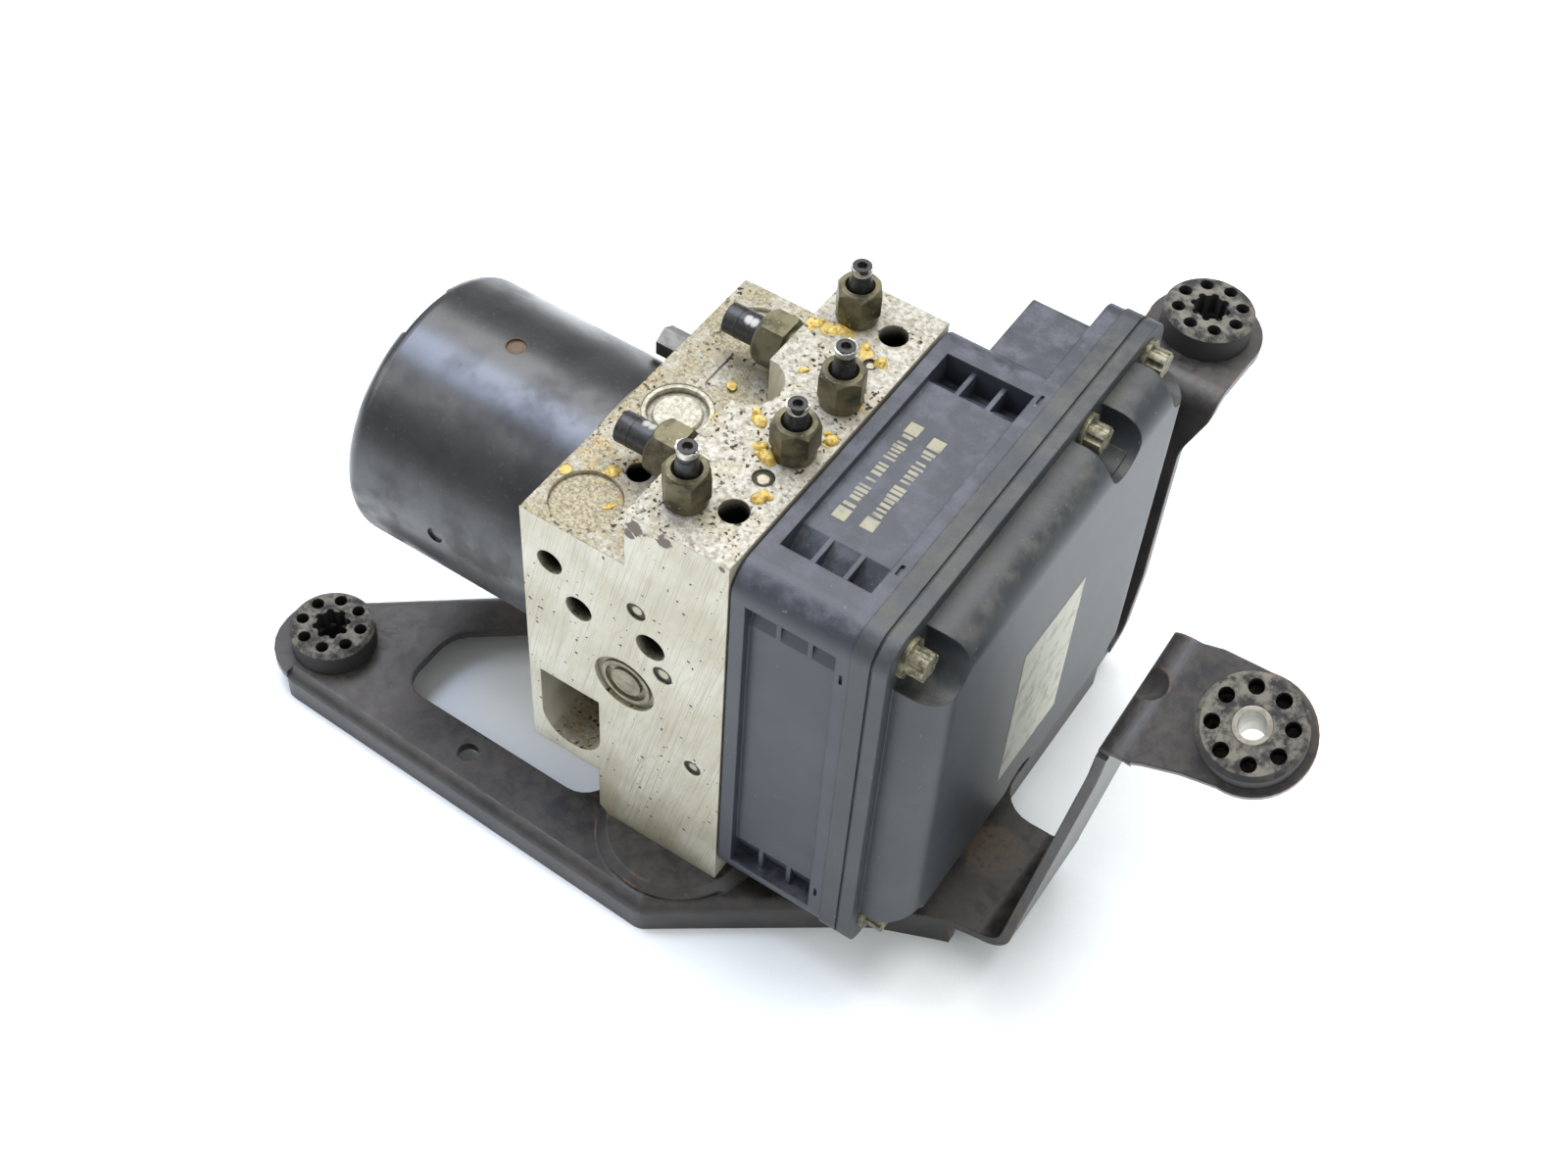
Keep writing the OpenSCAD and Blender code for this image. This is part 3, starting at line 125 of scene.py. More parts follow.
def add(tree, recipe, *values, **more):
    """Adds a node by its recipe, sets or links its inputs in order, and gives back its output."""
    kind, sockets, output, settings = recipe
    node = tree.nodes.new("ShaderNode" + kind)
    for key, value in {**settings, **more}.items():
        setattr(node, key, value)
    for socket, value in zip(sockets, values):
        if isinstance(value, bpy.types.NodeSocket):
            tree.links.new(value, node.inputs[socket])
        else:
            node.inputs[socket].default_value = value
    return node.outputs[output]


print("white is", linear("FFFFFF"))

# %% [markdown]
# Every material begins alike and ends alike, so two helpers do that. `start` makes the material
# and finds the place on the object, which the patterns read. `surface` rounds the sharp edges in
# the shading, because no real edge is quite sharp, and presses a fine relief into the finish. A
# third, `spots`, is a mask for stains: 1 inside them and 0 elsewhere.

# %% Helpers for materials
def start(name, rough=0.5, metal=0.0):
    """A new material, its node tree, its shader, and the place on the object as a vector."""
    m = bpy.data.materials.new(name)
    m.use_nodes = True
    t = m.node_tree
    shader = t.nodes["Principled BSDF"]
    shader.inputs["Roughness"].default_value = rough
    shader.inputs["Metallic"].default_value = metal
    return m, t, shader, add(t, PLACE)


def surface(tree, shader, height=None, depth=0.0001, edge=0.0004):
    """Rounds the sharp edges a little in the shading, and adds a fine relief."""
    normal = add(tree, ROUNDED, edge)
    if height is not None:
        normal = add(tree, BUMP, height, depth, normal)
    tree.links.new(normal, shader.inputs["Normal"])


def spots(tree, where, places, ragged=1.6):
    """1 inside any of the round spots (x, y, z, radius), whose edges are made ragged by noise."""
    wobble = add(tree, SUBTRACT, add(tree, NOISE, where, 1 / 0.0025, 4.0, 0.7), 0.5)
    total = 0.0
    for x, y, z, radius in places:
        away = add(tree, DISTANCE, where, (x, y, z))
        away = add(tree, ADD, away, add(tree, MULTIPLY, wobble, radius * ragged))
        total = add(tree, MAXIMUM, total, add(tree, SMOOTH, away, radius, radius * 0.7))
    return total


print("helpers ready:", start.__name__, surface.__name__, spots.__name__)

# %% [markdown]
# ## Where things are on the block
#
# The block has a high plateau, and a low deck on the motor's side. Stains and drops could be
# painted by hand, but a painted picture wouldn't follow the CAD model. So each is a spot with a
# place and a radius, measured from the block's front left corner. `TOP` is the plateau's height
# and `DECK` the low deck's.

# %% Places on the block
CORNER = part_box("valve_block")[0]
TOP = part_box("valve_block")[1].z
DECK = TOP - 0.0195


def on_plateau(x, y, radius=0.0):
    return (CORNER.x + x, CORNER.y + y, TOP, radius)


def on_deck(x, y, radius=0.0):
    return (CORNER.x + x, CORNER.y + y, DECK, radius)


SEALANT_STAINS = [
    on_plateau(0.0383, 0.0800, 0.0032),
    on_plateau(0.0330, 0.0792, 0.0020),
    on_plateau(0.0432, 0.0815, 0.0026),
    on_plateau(0.0505, 0.0780, 0.0026),
    on_plateau(0.0560, 0.0766, 0.0014),
    on_plateau(0.0411, 0.0640, 0.0010),
    on_plateau(0.0405, 0.0435, 0.0018),
    on_plateau(0.0475, 0.0350, 0.0018),
    on_plateau(0.0592, 0.0470, 0.0018),
    on_plateau(0.0591, 0.0610, 0.0010),
    on_deck(0.0198, 0.0645, 0.0010),
    on_deck(0.0226, 0.0532, 0.0016),
    on_deck(0.0117, 0.0223, 0.0026),
    on_deck(0.0021, 0.0164, 0.0020),
    on_deck(0.0165, 0.0129, 0.0014),
]
DARK_STAINS = [
    (CORNER.x + 0.0355, CORNER.y, TOP - 0.0035, 0.0028),
    (CORNER.x + 0.0435, CORNER.y, TOP - 0.0026, 0.0024),
    (CORNER.x + 0.0335, CORNER.y, TOP - 0.0070, 0.0018),
    (CORNER.x + 0.0600, CORNER.y, TOP - 0.0010, 0.0010),
]
GOLDEN_DIRT = [
    on_deck(0.0042, 0.0269, 0.0045),
    on_deck(0.0072, 0.0208, 0.0026),
    on_deck(0.0126, 0.0222, 0.0026),
    on_deck(0.0150, 0.0275, 0.0022),
    on_deck(0.0195, 0.0480, 0.0030),
    on_deck(0.0060, 0.0470, 0.0024),
    (CORNER.x + 0.0392, CORNER.y, TOP - 0.0026, 0.0014),
    (CORNER.x + 0.0412, CORNER.y, TOP - 0.0010, 0.0010),
]
POCKET = (CORNER.x + 0.0130, CORNER.y + 0.0140, DECK - 0.0765, 0.0160)
print("stains:", len(SEALANT_STAINS), "and", len(DARK_STAINS), "golden dirt:", len(GOLDEN_DIRT))

# %% [markdown]
# ## Milled aluminium
#
# The block is milled from an aluminium bar. Its front face shows fine slanting milling lines. Its
# top faces are paler and pitted, and the low deck has sandy dirt that has gathered against the
# caps and in the corners. A scanned picture of metal could give this too, but noise on Object
# coordinates has no seams and stays sharp from near by.
#
# The lines come first. Each set is noise that is turned and then squeezed about a hundred times
# more across than along. They are drawn a little coarser than the real ones, which are too fine
# to show.

# %% Milling lines
MAIN_LINES = (-13, (4600, 200, 40), 0.52, 0.72)  # slant in degrees, squeeze, and the two limits
CROSS_LINES = (-30, (3800, 200, 60), 0.6, 0.74)


def milling_lines(t, where, slant, squeeze, low, high):
    """Fine slanting lines: 0 where the squeezed noise is below low, 1 where it is above high."""
    turned = add(t, TURN, where, (0, math.radians(slant), 0))
    noise = add(t, NOISE, add(t, STRETCH, turned, squeeze), 1, 2.0, 0.55)
    return add(t, SMOOTH, noise, low, high)


print("the main lines are", MAIN_LINES[1][0] // MAIN_LINES[1][2], "times longer than wide")

# %% [markdown]
# The block's finishes share some masks and noises, which are worked out once: how far a face looks
# upwards or to the front, where the lines, the sand and the foot are, and noise from coarse to
# fine. A mask is 1 where its finish is and 0 elsewhere.

# %% Masks on the block
def block_masks(t, where):
    """The masks and noises that the block's layers share, by name."""
    facing = add(t, FACING)
    height = add(t, Z_OF, where)
    up = add(t, SMOOTH, add(t, Z_OF, facing), 0.6, 0.9)
    front = add(t, SMOOTH, add(t, Y_OF, facing), -0.6, -0.9)
    scratch = add(t, MAXIMUM,
        milling_lines(t, where, *MAIN_LINES),
        add(t, MULTIPLY, milling_lines(t, where, *CROSS_LINES), 0.7),
    )
    sand = add(t, MULTIPLY,
        add(t, MULTIPLY, up, add(t, SMOOTH, height, DECK + 0.006, DECK + 0.001)),
        add(t, SMOOTH, add(t, NOISE, where, 1 / 0.012, 6.0, 0.75), 0.36, 0.6),
    )
    return {
        "up": up,
        "front": front,
        "scratch": add(t, MULTIPLY, scratch, front),
        "sand": sand,
        "foot": add(t, SMOOTH, height, 0.045, 0.005),
        "broad": add(t, NOISE, where, 1 / 0.03, 4.0, 0.55),
        "mottle": add(t, NOISE, where, 1 / 0.004, 4.0, 0.65),
        "grit": add(t, NOISE, where, 1 / 0.0012, 4.0, 0.8),
    }


print("the low deck's sand ends", round((DECK + 0.006 - CORNER.z) * 1000, 1), "mm up the block")

# %% [markdown]
# The colour is built up in layers: bare metal, then sandy dirt, pits with a brown film and stains,
# as the real surface was, and last painted shade in the holes. Each layer takes the colour so far
# and lays its own over it.

# %% Metal and sandy dirt
def bare_metal(t, where, mask):
    """Warm grey sides with darker lines, and paler tops that are finely etched."""
    broad = add(t, SMOOTH, mask["broad"], 0.35, 0.7)
    colour = add(t, MIX, broad, linear("C9C7B9"), linear("B3AE9A"))
    tan = add(t, MULTIPLY, add(t, SMOOTH, mask["mottle"], 0.4, 0.7), 0.25)
    colour = add(t, MIX, tan, colour, linear("B9A587"))
    colour = add(t, MIX, add(t, MULTIPLY, mask["scratch"], 0.6), colour, linear("969079"))
    etched = add(t, SMOOTH, add(t, NOISE, where, 1 / 0.0016, 4.0, 0.75), 0.38, 0.62)
    pale = add(t, MIX, etched, linear("918C7C"), linear("B6B3A9"))
    return add(t, MIX, mask["up"], colour, pale)


def sandy_dirt(t, colour, mask):
    """Sandy dirt all over the low deck, and a darker brownish tone in patches towards the foot of
    the block.
    """
    grain = add(t, SMOOTH, mask["grit"], 0.4, 0.62)
    sandy = add(t, MIX, grain, linear("766D52"), linear("A79D80"))
    colour = add(t, MIX, add(t, MULTIPLY, mask["sand"], 0.85), colour, sandy)
    foot = add(t, MULTIPLY, mask["foot"], add(t, SMOOTH, mask["broad"], 0.3, 0.6))
    return add(t, MIX, add(t, MULTIPLY, foot, 0.6), colour, linear("8A8163"))


print("layers ready:", bare_metal.__name__, sandy_dirt.__name__)


# %% Pits, stains and painted shade in holes
def pits_and_film(t, where, colour, mask):
    """Small dark pits on the tops, denser in a brown film, and rare ones in the front face."""
    film = add(t, SMOOTH, add(t, NOISE, where, 1 / 0.011, 4.0, 0.7), 0.45, 0.62)
    pits = add(t, SMOOTH, add(t, NOISE, where, 1 / 0.0013, 2.0, 0.5), 0.57, 0.65)
    pits = add(t, MULTIPLY, add(t, MULTIPLY, pits, mask["up"]), add(t, ADD, 0.3, film))
    film = add(t, MULTIPLY, add(t, MULTIPLY, film, mask["up"]), 0.25)
    colour = add(t, MIX, film, colour, linear("A2936E"))
    rare = add(t, SMOOTH, add(t, NOISE, where, 1 / 0.0018, 1.0, 0.5), 0.72, 0.75)
    rare = add(t, MULTIPLY, rare, mask["front"])
    return add(t, MIX, add(t, MAXIMUM, pits, rare), colour, linear("2C271F")), pits


def stains(t, where, colour, mask, sealant, dark):
    """Yellow sealant, golden dirt on the deck, and black dirt at the plateau's front edge."""
    yellow = add(t, MIX, mask["grit"], linear("9C7A26"), linear("DCCB78"))
    colour = add(t, MIX, add(t, MULTIPLY, sealant, 0.85), colour, yellow)
    golden = spots(t, where, GOLDEN_DIRT, 2.4)
    golden = add(t, MULTIPLY, golden, add(t, SMOOTH, mask["mottle"], 0.3, 0.6))
    grain = add(t, SMOOTH, mask["grit"], 0.35, 0.6)
    brown = add(t, MIX, grain, linear("5E4724"), linear("C0AC7C"))
    colour = add(t, MIX, add(t, MULTIPLY, golden, 0.75), colour, brown)
    black = add(t, MIX, mask["grit"], linear("2E1F0C"), linear("543C1C"))
    return add(t, MIX, add(t, MULTIPLY, dark, 0.9), colour, black)


def painted_hole_shade(t, where, colour, mask):
    """Painted shade: brown in the enclosed corner pocket, and nearly black deep in every hole."""
    # Painted shade: occlusion darkens the corner pocket to brown and the deep holes to nearly black
    inside = add(t, OPENNESS, 0.011, samples=8, only_local=True)
    pocket = spots(t, where, [POCKET], 0.3)
    pocket = add(t, MULTIPLY, pocket, add(t, SMOOTH, inside, 0.98, 0.8))
    brown = add(t, MIX, mask["broad"], linear("5A4A34"), linear("7D6B50"))
    colour = add(t, MIX, add(t, MULTIPLY, pocket, 0.8), colour, brown)
    return add(t, MIX, add(t, SMOOTH, inside, 0.56, 0.3), colour, linear("1C1712"))


print("layers ready:", pits_and_film.__name__, stains.__name__, painted_hole_shade.__name__)


# %% Block
def block_material():
    """Milled aluminium: bright and half matt, with lines, pits, stains and painted shade in its
    holes.
    """
    m, t, shader, where = start("milled_aluminium", metal=0.5)
    mask = block_masks(t, where)
    sealant = spots(t, where, SEALANT_STAINS)
    dark = spots(t, where, DARK_STAINS, 2.2)
    colour = sandy_dirt(t, bare_metal(t, where, mask), mask)
    colour, pits = pits_and_film(t, where, colour, mask)
    colour = stains(t, where, colour, mask, sealant, dark)
    # Last layer: painted shade in the holes and the corner pocket
    t.links.new(painted_hole_shade(t, where, colour, mask), shader.inputs["Base Color"])
    # Black dirt isn't metallic, and corroded metal only by half
    metallic = add(t, MULTIPLY, add(t, SMOOTH, dark, 1.0, 0.0), 0.5)
    t.links.new(metallic, shader.inputs["Metallic"])
    matt = add(t, MAXIMUM, mask["sand"], mask["up"])
    rough = add(t, MIX, matt, (0.42, 0.42, 0.42, 1), (0.6, 0.6, 0.6, 1))
    t.links.new(rough, shader.inputs["Roughness"])
    # Grit and sealant stand out, lines and pits go in
    relief = add(t, MULTIPLY, mask["sand"], mask["grit"])
    relief = add(t, SUBTRACT, relief, add(t, MULTIPLY, mask["scratch"], 0.3))
    relief = add(t, ADD, relief, add(t, MULTIPLY, sealant, 2.0))
    relief = add(t, SUBTRACT, relief, add(t, MULTIPLY, pits, 1.2))
    surface(t, shader, relief, 0.00015, 0.0005)
    return m


BLOCK = block_material()
print("made", BLOCK.name)

# %% [markdown]
# ## Caps and balls in the block
#
# Round caps and small balls close the block's drilled holes. The caps are pressed in, and their
# tops have corroded to a dull grain. The balls could share the caps' finish, but each shows a
# light dome inside a dark ring of painted shade, so they get spots of their own.

# %% Caps and balls
def cap_material(name, dark, light, grain_size):
    """Corroded aluminium: a dull grain, a little yellow corrosion, and a dark brown where the
    grooves are enclosed.
    """
    m, t, shader, where = start(name, rough=0.7, metal=0.3)
    grain = add(t, NOISE, where, 1 / grain_size, 5.0, 0.75)
    colour = add(t, MIX, add(t, SMOOTH, grain, 0.38, 0.62), linear(dark), linear(light))
    rust = add(t, SMOOTH, add(t, NOISE, where, 1 / 0.006, 3.0, 0.6, 0.5), 0.6, 0.72)
    colour = add(t, MIX, add(t, MULTIPLY, rust, 0.5), colour, linear("B08B45"))
    groove = add(t, OPENNESS, 0.002, samples=6)
    colour = add(t, MIX, add(t, SMOOTH, groove, 0.75, 0.4), colour, linear("4A4232"))
    t.links.new(colour, shader.inputs["Base Color"])
    surface(t, shader, grain, 0.00015, 0.0004)
    return m


def ball_material():
    """Pressed balls: a light dome, and a dark ring of painted shade where it meets its hole."""
    m, t, shader, where = start("pressed_balls", rough=0.4, metal=0.6)
    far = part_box("valve_block")[1]
    domes = [
        (far.x - 0.0094, CORNER.y + 0.0283, TOP - 0.0005, 0.0018),
        (far.x - 0.0087, far.y - 0.0245, TOP - 0.0005, 0.0012),
        (CORNER.x + 0.0354, CORNER.y + 0.0005, DECK - 0.0161, 0.0017),
        (CORNER.x + 0.0435, CORNER.y + 0.0005, DECK - 0.0363, 0.0018),
        (CORNER.x + 0.0534, CORNER.y + 0.0005, DECK - 0.0698, 0.0015),
    ]
    # Painted shade: dark round each light dome, where the ball sits in its hole
    colour = add(t, MIX, spots(t, where, domes, 0.5), linear("2B261E"), linear("A8A18B"))
    t.links.new(colour, shader.inputs["Base Color"])
    surface(t, shader, add(t, NOISE, where, 1 / 0.0015, 3.0, 0.55), 0.0001, 0.0003)
    return m


CAP = cap_material("weathered_cap", "7C735B", "B5AC93", 0.0009)
STEPPED_CAP = cap_material("stepped_cap", "9E9A88", "C9C5B4", 0.0015)
BALLS = ball_material()
print("made", CAP.name, STEPPED_CAP.name, BALLS.name)


# %% [markdown]
# ## Metals with a coat
#
# The nuts and screws are zinc-coated steel that has dulled, and the plugs, springs, shafts and
# brushes' parts are plain metal. Each could have a material of its own, but they differ only in
# colour, gloss and how blotchy they are. So one function makes them all: a base colour, a second
# colour in blotches, and specks on some.

# %% Plain and zinc-coated metals
def coated_metal(name, base, blotch, rough=0.45, metal=0.8, size=0.004, amount=0.5, speck=None):
    """Metal that has dulled in patches of the given size, with a finely uneven gloss."""
    m, t, shader, where = start(name, rough, metal)
    broad = add(t, NOISE, where, 1 / size, 4.0, 0.6)
    colour = add(t, MIX,
        add(t, MULTIPLY, add(t, SMOOTH, broad, 0.42, 0.62), amount),
        linear(base),
        linear(blotch),
    )
    if speck:
        colour = add(t, MIX,
            add(t, SMOOTH, add(t, NOISE, where, 1 / (size / 4), 2.0, 0.55), 0.66, 0.76),
            colour,
            linear(speck),
        )
    t.links.new(colour, shader.inputs["Base Color"])
    fine = add(t, NOISE, where, 1 / 0.0006, 2.0, 0.55)
    rough_map = add(t, MIX, fine, (rough - 0.08,) * 3 + (1,), (rough + 0.12,) * 3 + (1,))
    t.links.new(rough_map, shader.inputs["Roughness"])
    surface(t, shader, broad, 0.00005, 0.0003)
    return m


NUT = coated_metal("olive_zinc", "69644E", "3E3A2C", 0.38, 0.75, 0.006, 0.8, "8A8368")
PLUG = coated_metal("turned_plug", "8C8772", "59543F", 0.4, 0.7, 0.004, 0.6)
STEEL = coated_metal("bright_steel", "A9A7A0", "75726A", 0.32, 0.95)
SPRING = coated_metal("spring_steel", "6E6E70", "4A4A4C", 0.35, 0.95)
SCREW = coated_metal("corroded_zinc", "8F8B76", "4C4838", 0.5, 0.65, 0.0022, 0.85, "D3CFBE")
BOLT = coated_metal("zinc_bolt", "7A786F", "54514A", 0.4, 0.9)
COPPER = coated_metal("copper_winding", "A8653F", "7A4529", 0.4, 0.9)
BRASS = coated_metal("brass", "C7A35C", "8F7240", 0.35, 0.95)
BRONZE = coated_metal("sintered_bronze", "8A7048", "665130", 0.55, 0.8)
SLEEVE = coated_metal("sleeve_steel", "A7A395", "6A6658", 0.35, 0.85)
MAGNET = coated_metal("ferrite", "2E2E30", "232325", 0.7, 0.0)
print("made 11 metals")


# %% [markdown]
# ## Black paint on the motor and the bracket
#
# Both are painted steel, and both reflect the pale room. The motor's can has a bluish sheen and a
# film of brown dust on its lower half. The bracket is browner, with rust where the paint has worn
# off its edges. One black with a gloss setting would look like plastic. Here the gloss is a coat
# over the paint that comes and goes in patches, and the worn edges are found by comparing the
# flat normal with a rounded one.

# %% Motor paint
DIMPLE = (0.0395, 0.0465, 0.1128)  # the rusty dimple on the can's top


def motor_material():
    """Black enamel: nearly black under a soft, patchy coat, with dust specks and one rust spot."""
    m, t, shader, where = start("motor_paint", rough=0.34)
    dust = add(t, NOISE, where, 1 / 0.0011, 3.0, 0.7)
    patch = add(t, NOISE, where, 1 / 0.02, 4.0, 0.6)
    colour = add(t, MIX, add(t, SMOOTH, patch, 0.4, 0.7), linear("0F1114"), linear("18191C"))
    film = add(t, MULTIPLY,
        add(t, SMOOTH, add(t, Z_OF, where), 0.105, 0.06),
        add(t, SMOOTH, patch, 0.35, 0.6),
    )
    colour = add(t, MIX, add(t, MULTIPLY, film, 0.6), colour, linear("2C2923"))
    colour = add(
        t, MIX, add(t, MULTIPLY, add(t, SMOOTH, dust, 0.6, 0.74), 0.5), colour, linear("5E5342")
    )
    # Rust in the dimple on top
    rust = add(t, SMOOTH, add(t, DISTANCE, where, DIMPLE), 0.0036, 0.0024)
    rust_colour = add(t, MIX, dust, linear("2E2216"), linear("6A5136"))
    colour = add(t, MIX, rust, colour, rust_colour)
    t.links.new(colour, shader.inputs["Base Color"])
    rough = add(t, MIX,
        add(t, MAXIMUM, film, add(t, SMOOTH, dust, 0.6, 0.75)),
        (0.36, 0.36, 0.36, 1),
        (0.6, 0.6, 0.6, 1),
    )
    t.links.new(rough, shader.inputs["Roughness"])
    gloss = add(t, MULTIPLY, add(t, SMOOTH, patch, 0.66, 0.4), add(t, SUBTRACT, 0.7, rust))
    t.links.new(gloss, shader.inputs["Coat Weight"])
    shader.inputs["Coat Roughness"].default_value = 0.25
    surface(t, shader, patch, 0.00003, 0.0005)
    return m


MOTOR = motor_material()
print("made", MOTOR.name)


# %% Bracket paint
RUSTY_PLACE = (CORNER.x + 0.1212, CORNER.y + 0.0550, DECK - 0.1175, 0.0110)


def bracket_material():
    """Dipped black paint: brownish and half matt, with dust on top and rust on worn edges."""
    m, t, shader, where = start("bracket_paint", rough=0.4)
    patch = add(t, NOISE, where, 1 / 0.02, 5.0, 0.65)
    fine = add(t, NOISE, where, 1 / 0.0035, 5.0, 0.7)
    colour = add(t, MIX, add(t, SMOOTH, patch, 0.35, 0.7), linear("1F1E1F"), linear("36322F"))
    dusty = add(t, MULTIPLY,
        add(t, SMOOTH, add(t, Z_OF, add(t, FACING)), 0.5, 0.9),
        add(t, SMOOTH, fine, 0.4, 0.65),
    )
    colour = add(t, MIX, add(t, MULTIPLY, dusty, 0.2), colour, linear("6B6255"))
    # Worn edges: where the rounded normal leaves the flat one
    edge = add(t, DOT_PRODUCT, add(t, TRUE_NORMAL), add(t, ROUNDED, 0.0012))
    worn = add(t, MULTIPLY,
        add(t, SMOOTH, edge, 0.99, 0.9),
        add(t, SMOOTH, add(t, NOISE, where, 1 / 0.012, 4.0, 0.7), 0.5, 0.6),
    )
    colour = add(t, MIX, add(t, MULTIPLY, worn, 0.8), colour, linear("7C5A3A"))
    rusty = add(t, SMOOTH, add(t, NOISE, where, 1 / 0.006, 3.0, 0.6, 0.6), 0.7, 0.76)
    colour = add(t, MIX, add(t, MULTIPLY, rusty, 0.6), colour, linear("6B4A30"))
    # A broad brown film between the control unit and the right arm
    film = add(t, MULTIPLY,
        spots(t, where, [RUSTY_PLACE], 0.5),
        add(t, SMOOTH, fine, 0.3, 0.65),
    )
    colour = add(t, MIX, add(t, MULTIPLY, film, 0.6), colour, linear("6E5A3C"))
    t.links.new(colour, shader.inputs["Base Color"])
    rough = add(t, MIX, add(t, MAXIMUM, worn, dusty), (0.4, 0.4, 0.4, 1), (0.66, 0.66, 0.66, 1))
    t.links.new(rough, shader.inputs["Roughness"])
    shader.inputs["Coat Weight"].default_value = 0.1
    shader.inputs["Coat Roughness"].default_value = 0.3
    surface(t, shader, patch, 0.00006, 0.0008)
    return m


BRACKET = bracket_material()
print("made", BRACKET.name)


# %% Pipe coat
def pipe_material(name, with_painted_highlight):
    """The black plastic coat on the pipes: dark and half glossy, with fine pale scuffs, and a
    painted highlight on each sleeve.
    """
    m, t, shader, where = start(name, rough=0.38)
    fine = add(t, NOISE, where, 1 / 0.001, 4.0, 0.7)
    colour = add(t, MIX, add(t, SMOOTH, fine, 0.45, 0.7), linear("0F0F10"), linear("2B2A27"))
    if with_painted_highlight:
        # Painted highlight: one pale patch on the upper side of each sleeve, for its sheen
        places = [
            (CORNER.x + x, CORNER.y + y, TOP - 0.0068, 0.0019)
            for x in (0.0168, 0.0186)
            for y in (0.0303, 0.0760)
        ]
        colour = add(
            t, MIX, add(t, MULTIPLY, spots(t, where, places, 0.3), 0.8), colour, linear("B9B8B2")
        )
    t.links.new(colour, shader.inputs["Base Color"])
    surface(t, shader, fine, 0.00006, 0.0004)
    return m


PIPE = pipe_material("pipe_coat", False)
SLEEVED = pipe_material("sleeve_coat", True)
print("made", PIPE.name, SLEEVED.name)


# %% [markdown]
# ## Plastics and rubber
#
# The housing is moulded plastic of a bluish dark grey, and the cover is of a greener one. Both have
# the fine grain of the mould, drawn as coarse as it needs to show, and a film of dust on what
# faces up. The dust could be a second material on chosen faces. A factor from the surface's own
# normal does the same with no edge between them. The rubber is dusty on top and black in its
# cells.

# %% Plastics and rubber
def plastic(name, base, lighter, dust, rough=0.42, dust_amount=0.3):
    """Moulded plastic: two close greys in broad patches, grain, dust on top and pale specks."""
    m, t, shader, where = start(name, rough)
    patch = add(t, NOISE, where, 1 / 0.025, 4.0, 0.6)
    grain = add(t, NOISE, where, 1 / 0.0004, 2.0, 0.5)
    colour = add(t, MIX, add(t, SMOOTH, patch, 0.35, 0.7), linear(base), linear(lighter))
    up = add(t, SMOOTH, add(t, Z_OF, add(t, FACING)), 0.3, 0.95)
    film = add(
        t, MULTIPLY, up, add(t, SMOOTH, add(t, NOISE, where, 1 / 0.008, 5.0, 0.7), 0.4, 0.68)
    )
    colour = add(t, MIX, add(t, MULTIPLY, film, dust_amount), colour, linear(dust))
    specks = add(t, SMOOTH, add(t, NOISE, where, 1 / 0.0013, 2.0, 0.55), 0.72, 0.77)
    colour = add(t, MIX, add(t, MULTIPLY, specks, 0.35), colour, linear("A39C8C"))
    t.links.new(colour, shader.inputs["Base Color"])
    rough_map = add(t, MIX, film, (rough,) * 3 + (1,), (min(1, rough + 0.25),) * 3 + (1,))
    t.links.new(rough_map, shader.inputs["Roughness"])
    surface(t, shader, grain, 0.00003, 0.0006)
    return m


def rubber_material():
    """Moulded rubber: matt and nearly black, grey with dust where it faces up."""
    m, t, shader, where = start("dusty_rubber", rough=0.75)
    up = add(t, SMOOTH, add(t, Z_OF, add(t, FACING)), 0.2, 0.85)
    patch = add(t, NOISE, where, 1 / 0.004, 5.0, 0.7)
    colour = add(t, MIX,
        add(t, MULTIPLY, up, add(t, SMOOTH, patch, 0.38, 0.62)),
        linear("201E1E"),
        linear("6C685D"),
    )
    t.links.new(colour, shader.inputs["Base Color"])
    surface(t, shader, patch, 0.0001, 0.0005)
    return m


HOUSING = plastic("housing_plastic", "2B2F37", "343841", "6E7078", 0.4, 0.45)
COVER = plastic("cover_plastic", "2C3033", "363A3D", "6E6B60", 0.44, 0.4)
COIL = plastic("coil_plastic", "20241F", "2B3029", "20241F")
HOLDER = plastic("holder_plastic", "3A281C", "46301F", "3A281C")
BOARD = plastic("board_green", "1B5B36", "24703F", "1B5B36", 0.3)
CARBON = plastic("carbon", "1A1A1C", "222224", "1A1A1C", 0.6)
RUBBER = rubber_material()
SEAL = plastic("seal_rubber", "151515", "1D1D1D", "2A2926", 0.7)
print("made", HOUSING.name, COVER.name, RUBBER.name)

# %% [markdown]
# ## Give every node its material
#
# The CAD model has 57 nodes. Each could be given its material by name, but the record already
# names a material slot for each, so one table from slot to material covers them all. Two nodes
# look different from the rest of their slot and are set after it.

# %% Assign the materials
BY_SLOT = {
    "block_aluminium": BLOCK, "plug_steel": PLUG, "cap_aluminium": CAP, "bright_steel": STEEL,
    "nut_zinc": NUT, "pipe_coat": PIPE, "sleeve_coat": SLEEVED, "spring_steel": SPRING,
    "armature_copper": COPPER, "commutator_brass": COPPER, "motor_paint": MOTOR,
    "magnet_ceramic": MAGNET, "plate_steel": BOLT, "bearing_bronze": BRONZE,
    "holder_plastic": HOLDER, "brush_carbon": CARBON, "terminal_brass": BRASS, "screw_steel": BOLT,
    "coil_plastic": COIL, "seal_rubber": SEAL, "housing_plastic": HOUSING, "board_green": BOARD,
    "cover_plastic": COVER, "cover_screw_zinc": SCREW, "bracket_paint": BRACKET,
    "bolt_steel": BOLT, "mount_rubber": RUBBER, "sleeve_steel": SLEEVE,
}
SLOT_OF = {s["node"]: s["material_slot"] for s in frame["record"]["subparts"]}
for name, o in NODES.items():
    o.data.materials.clear()
    o.data.materials.append(BY_SLOT[SLOT_OF[name]])
NODES["deck_cap_middle"].data.materials[0] = STEPPED_CAP
NODES["ball_plugs"].data.materials[0] = BALLS
print("painted", len(NODES), "nodes")


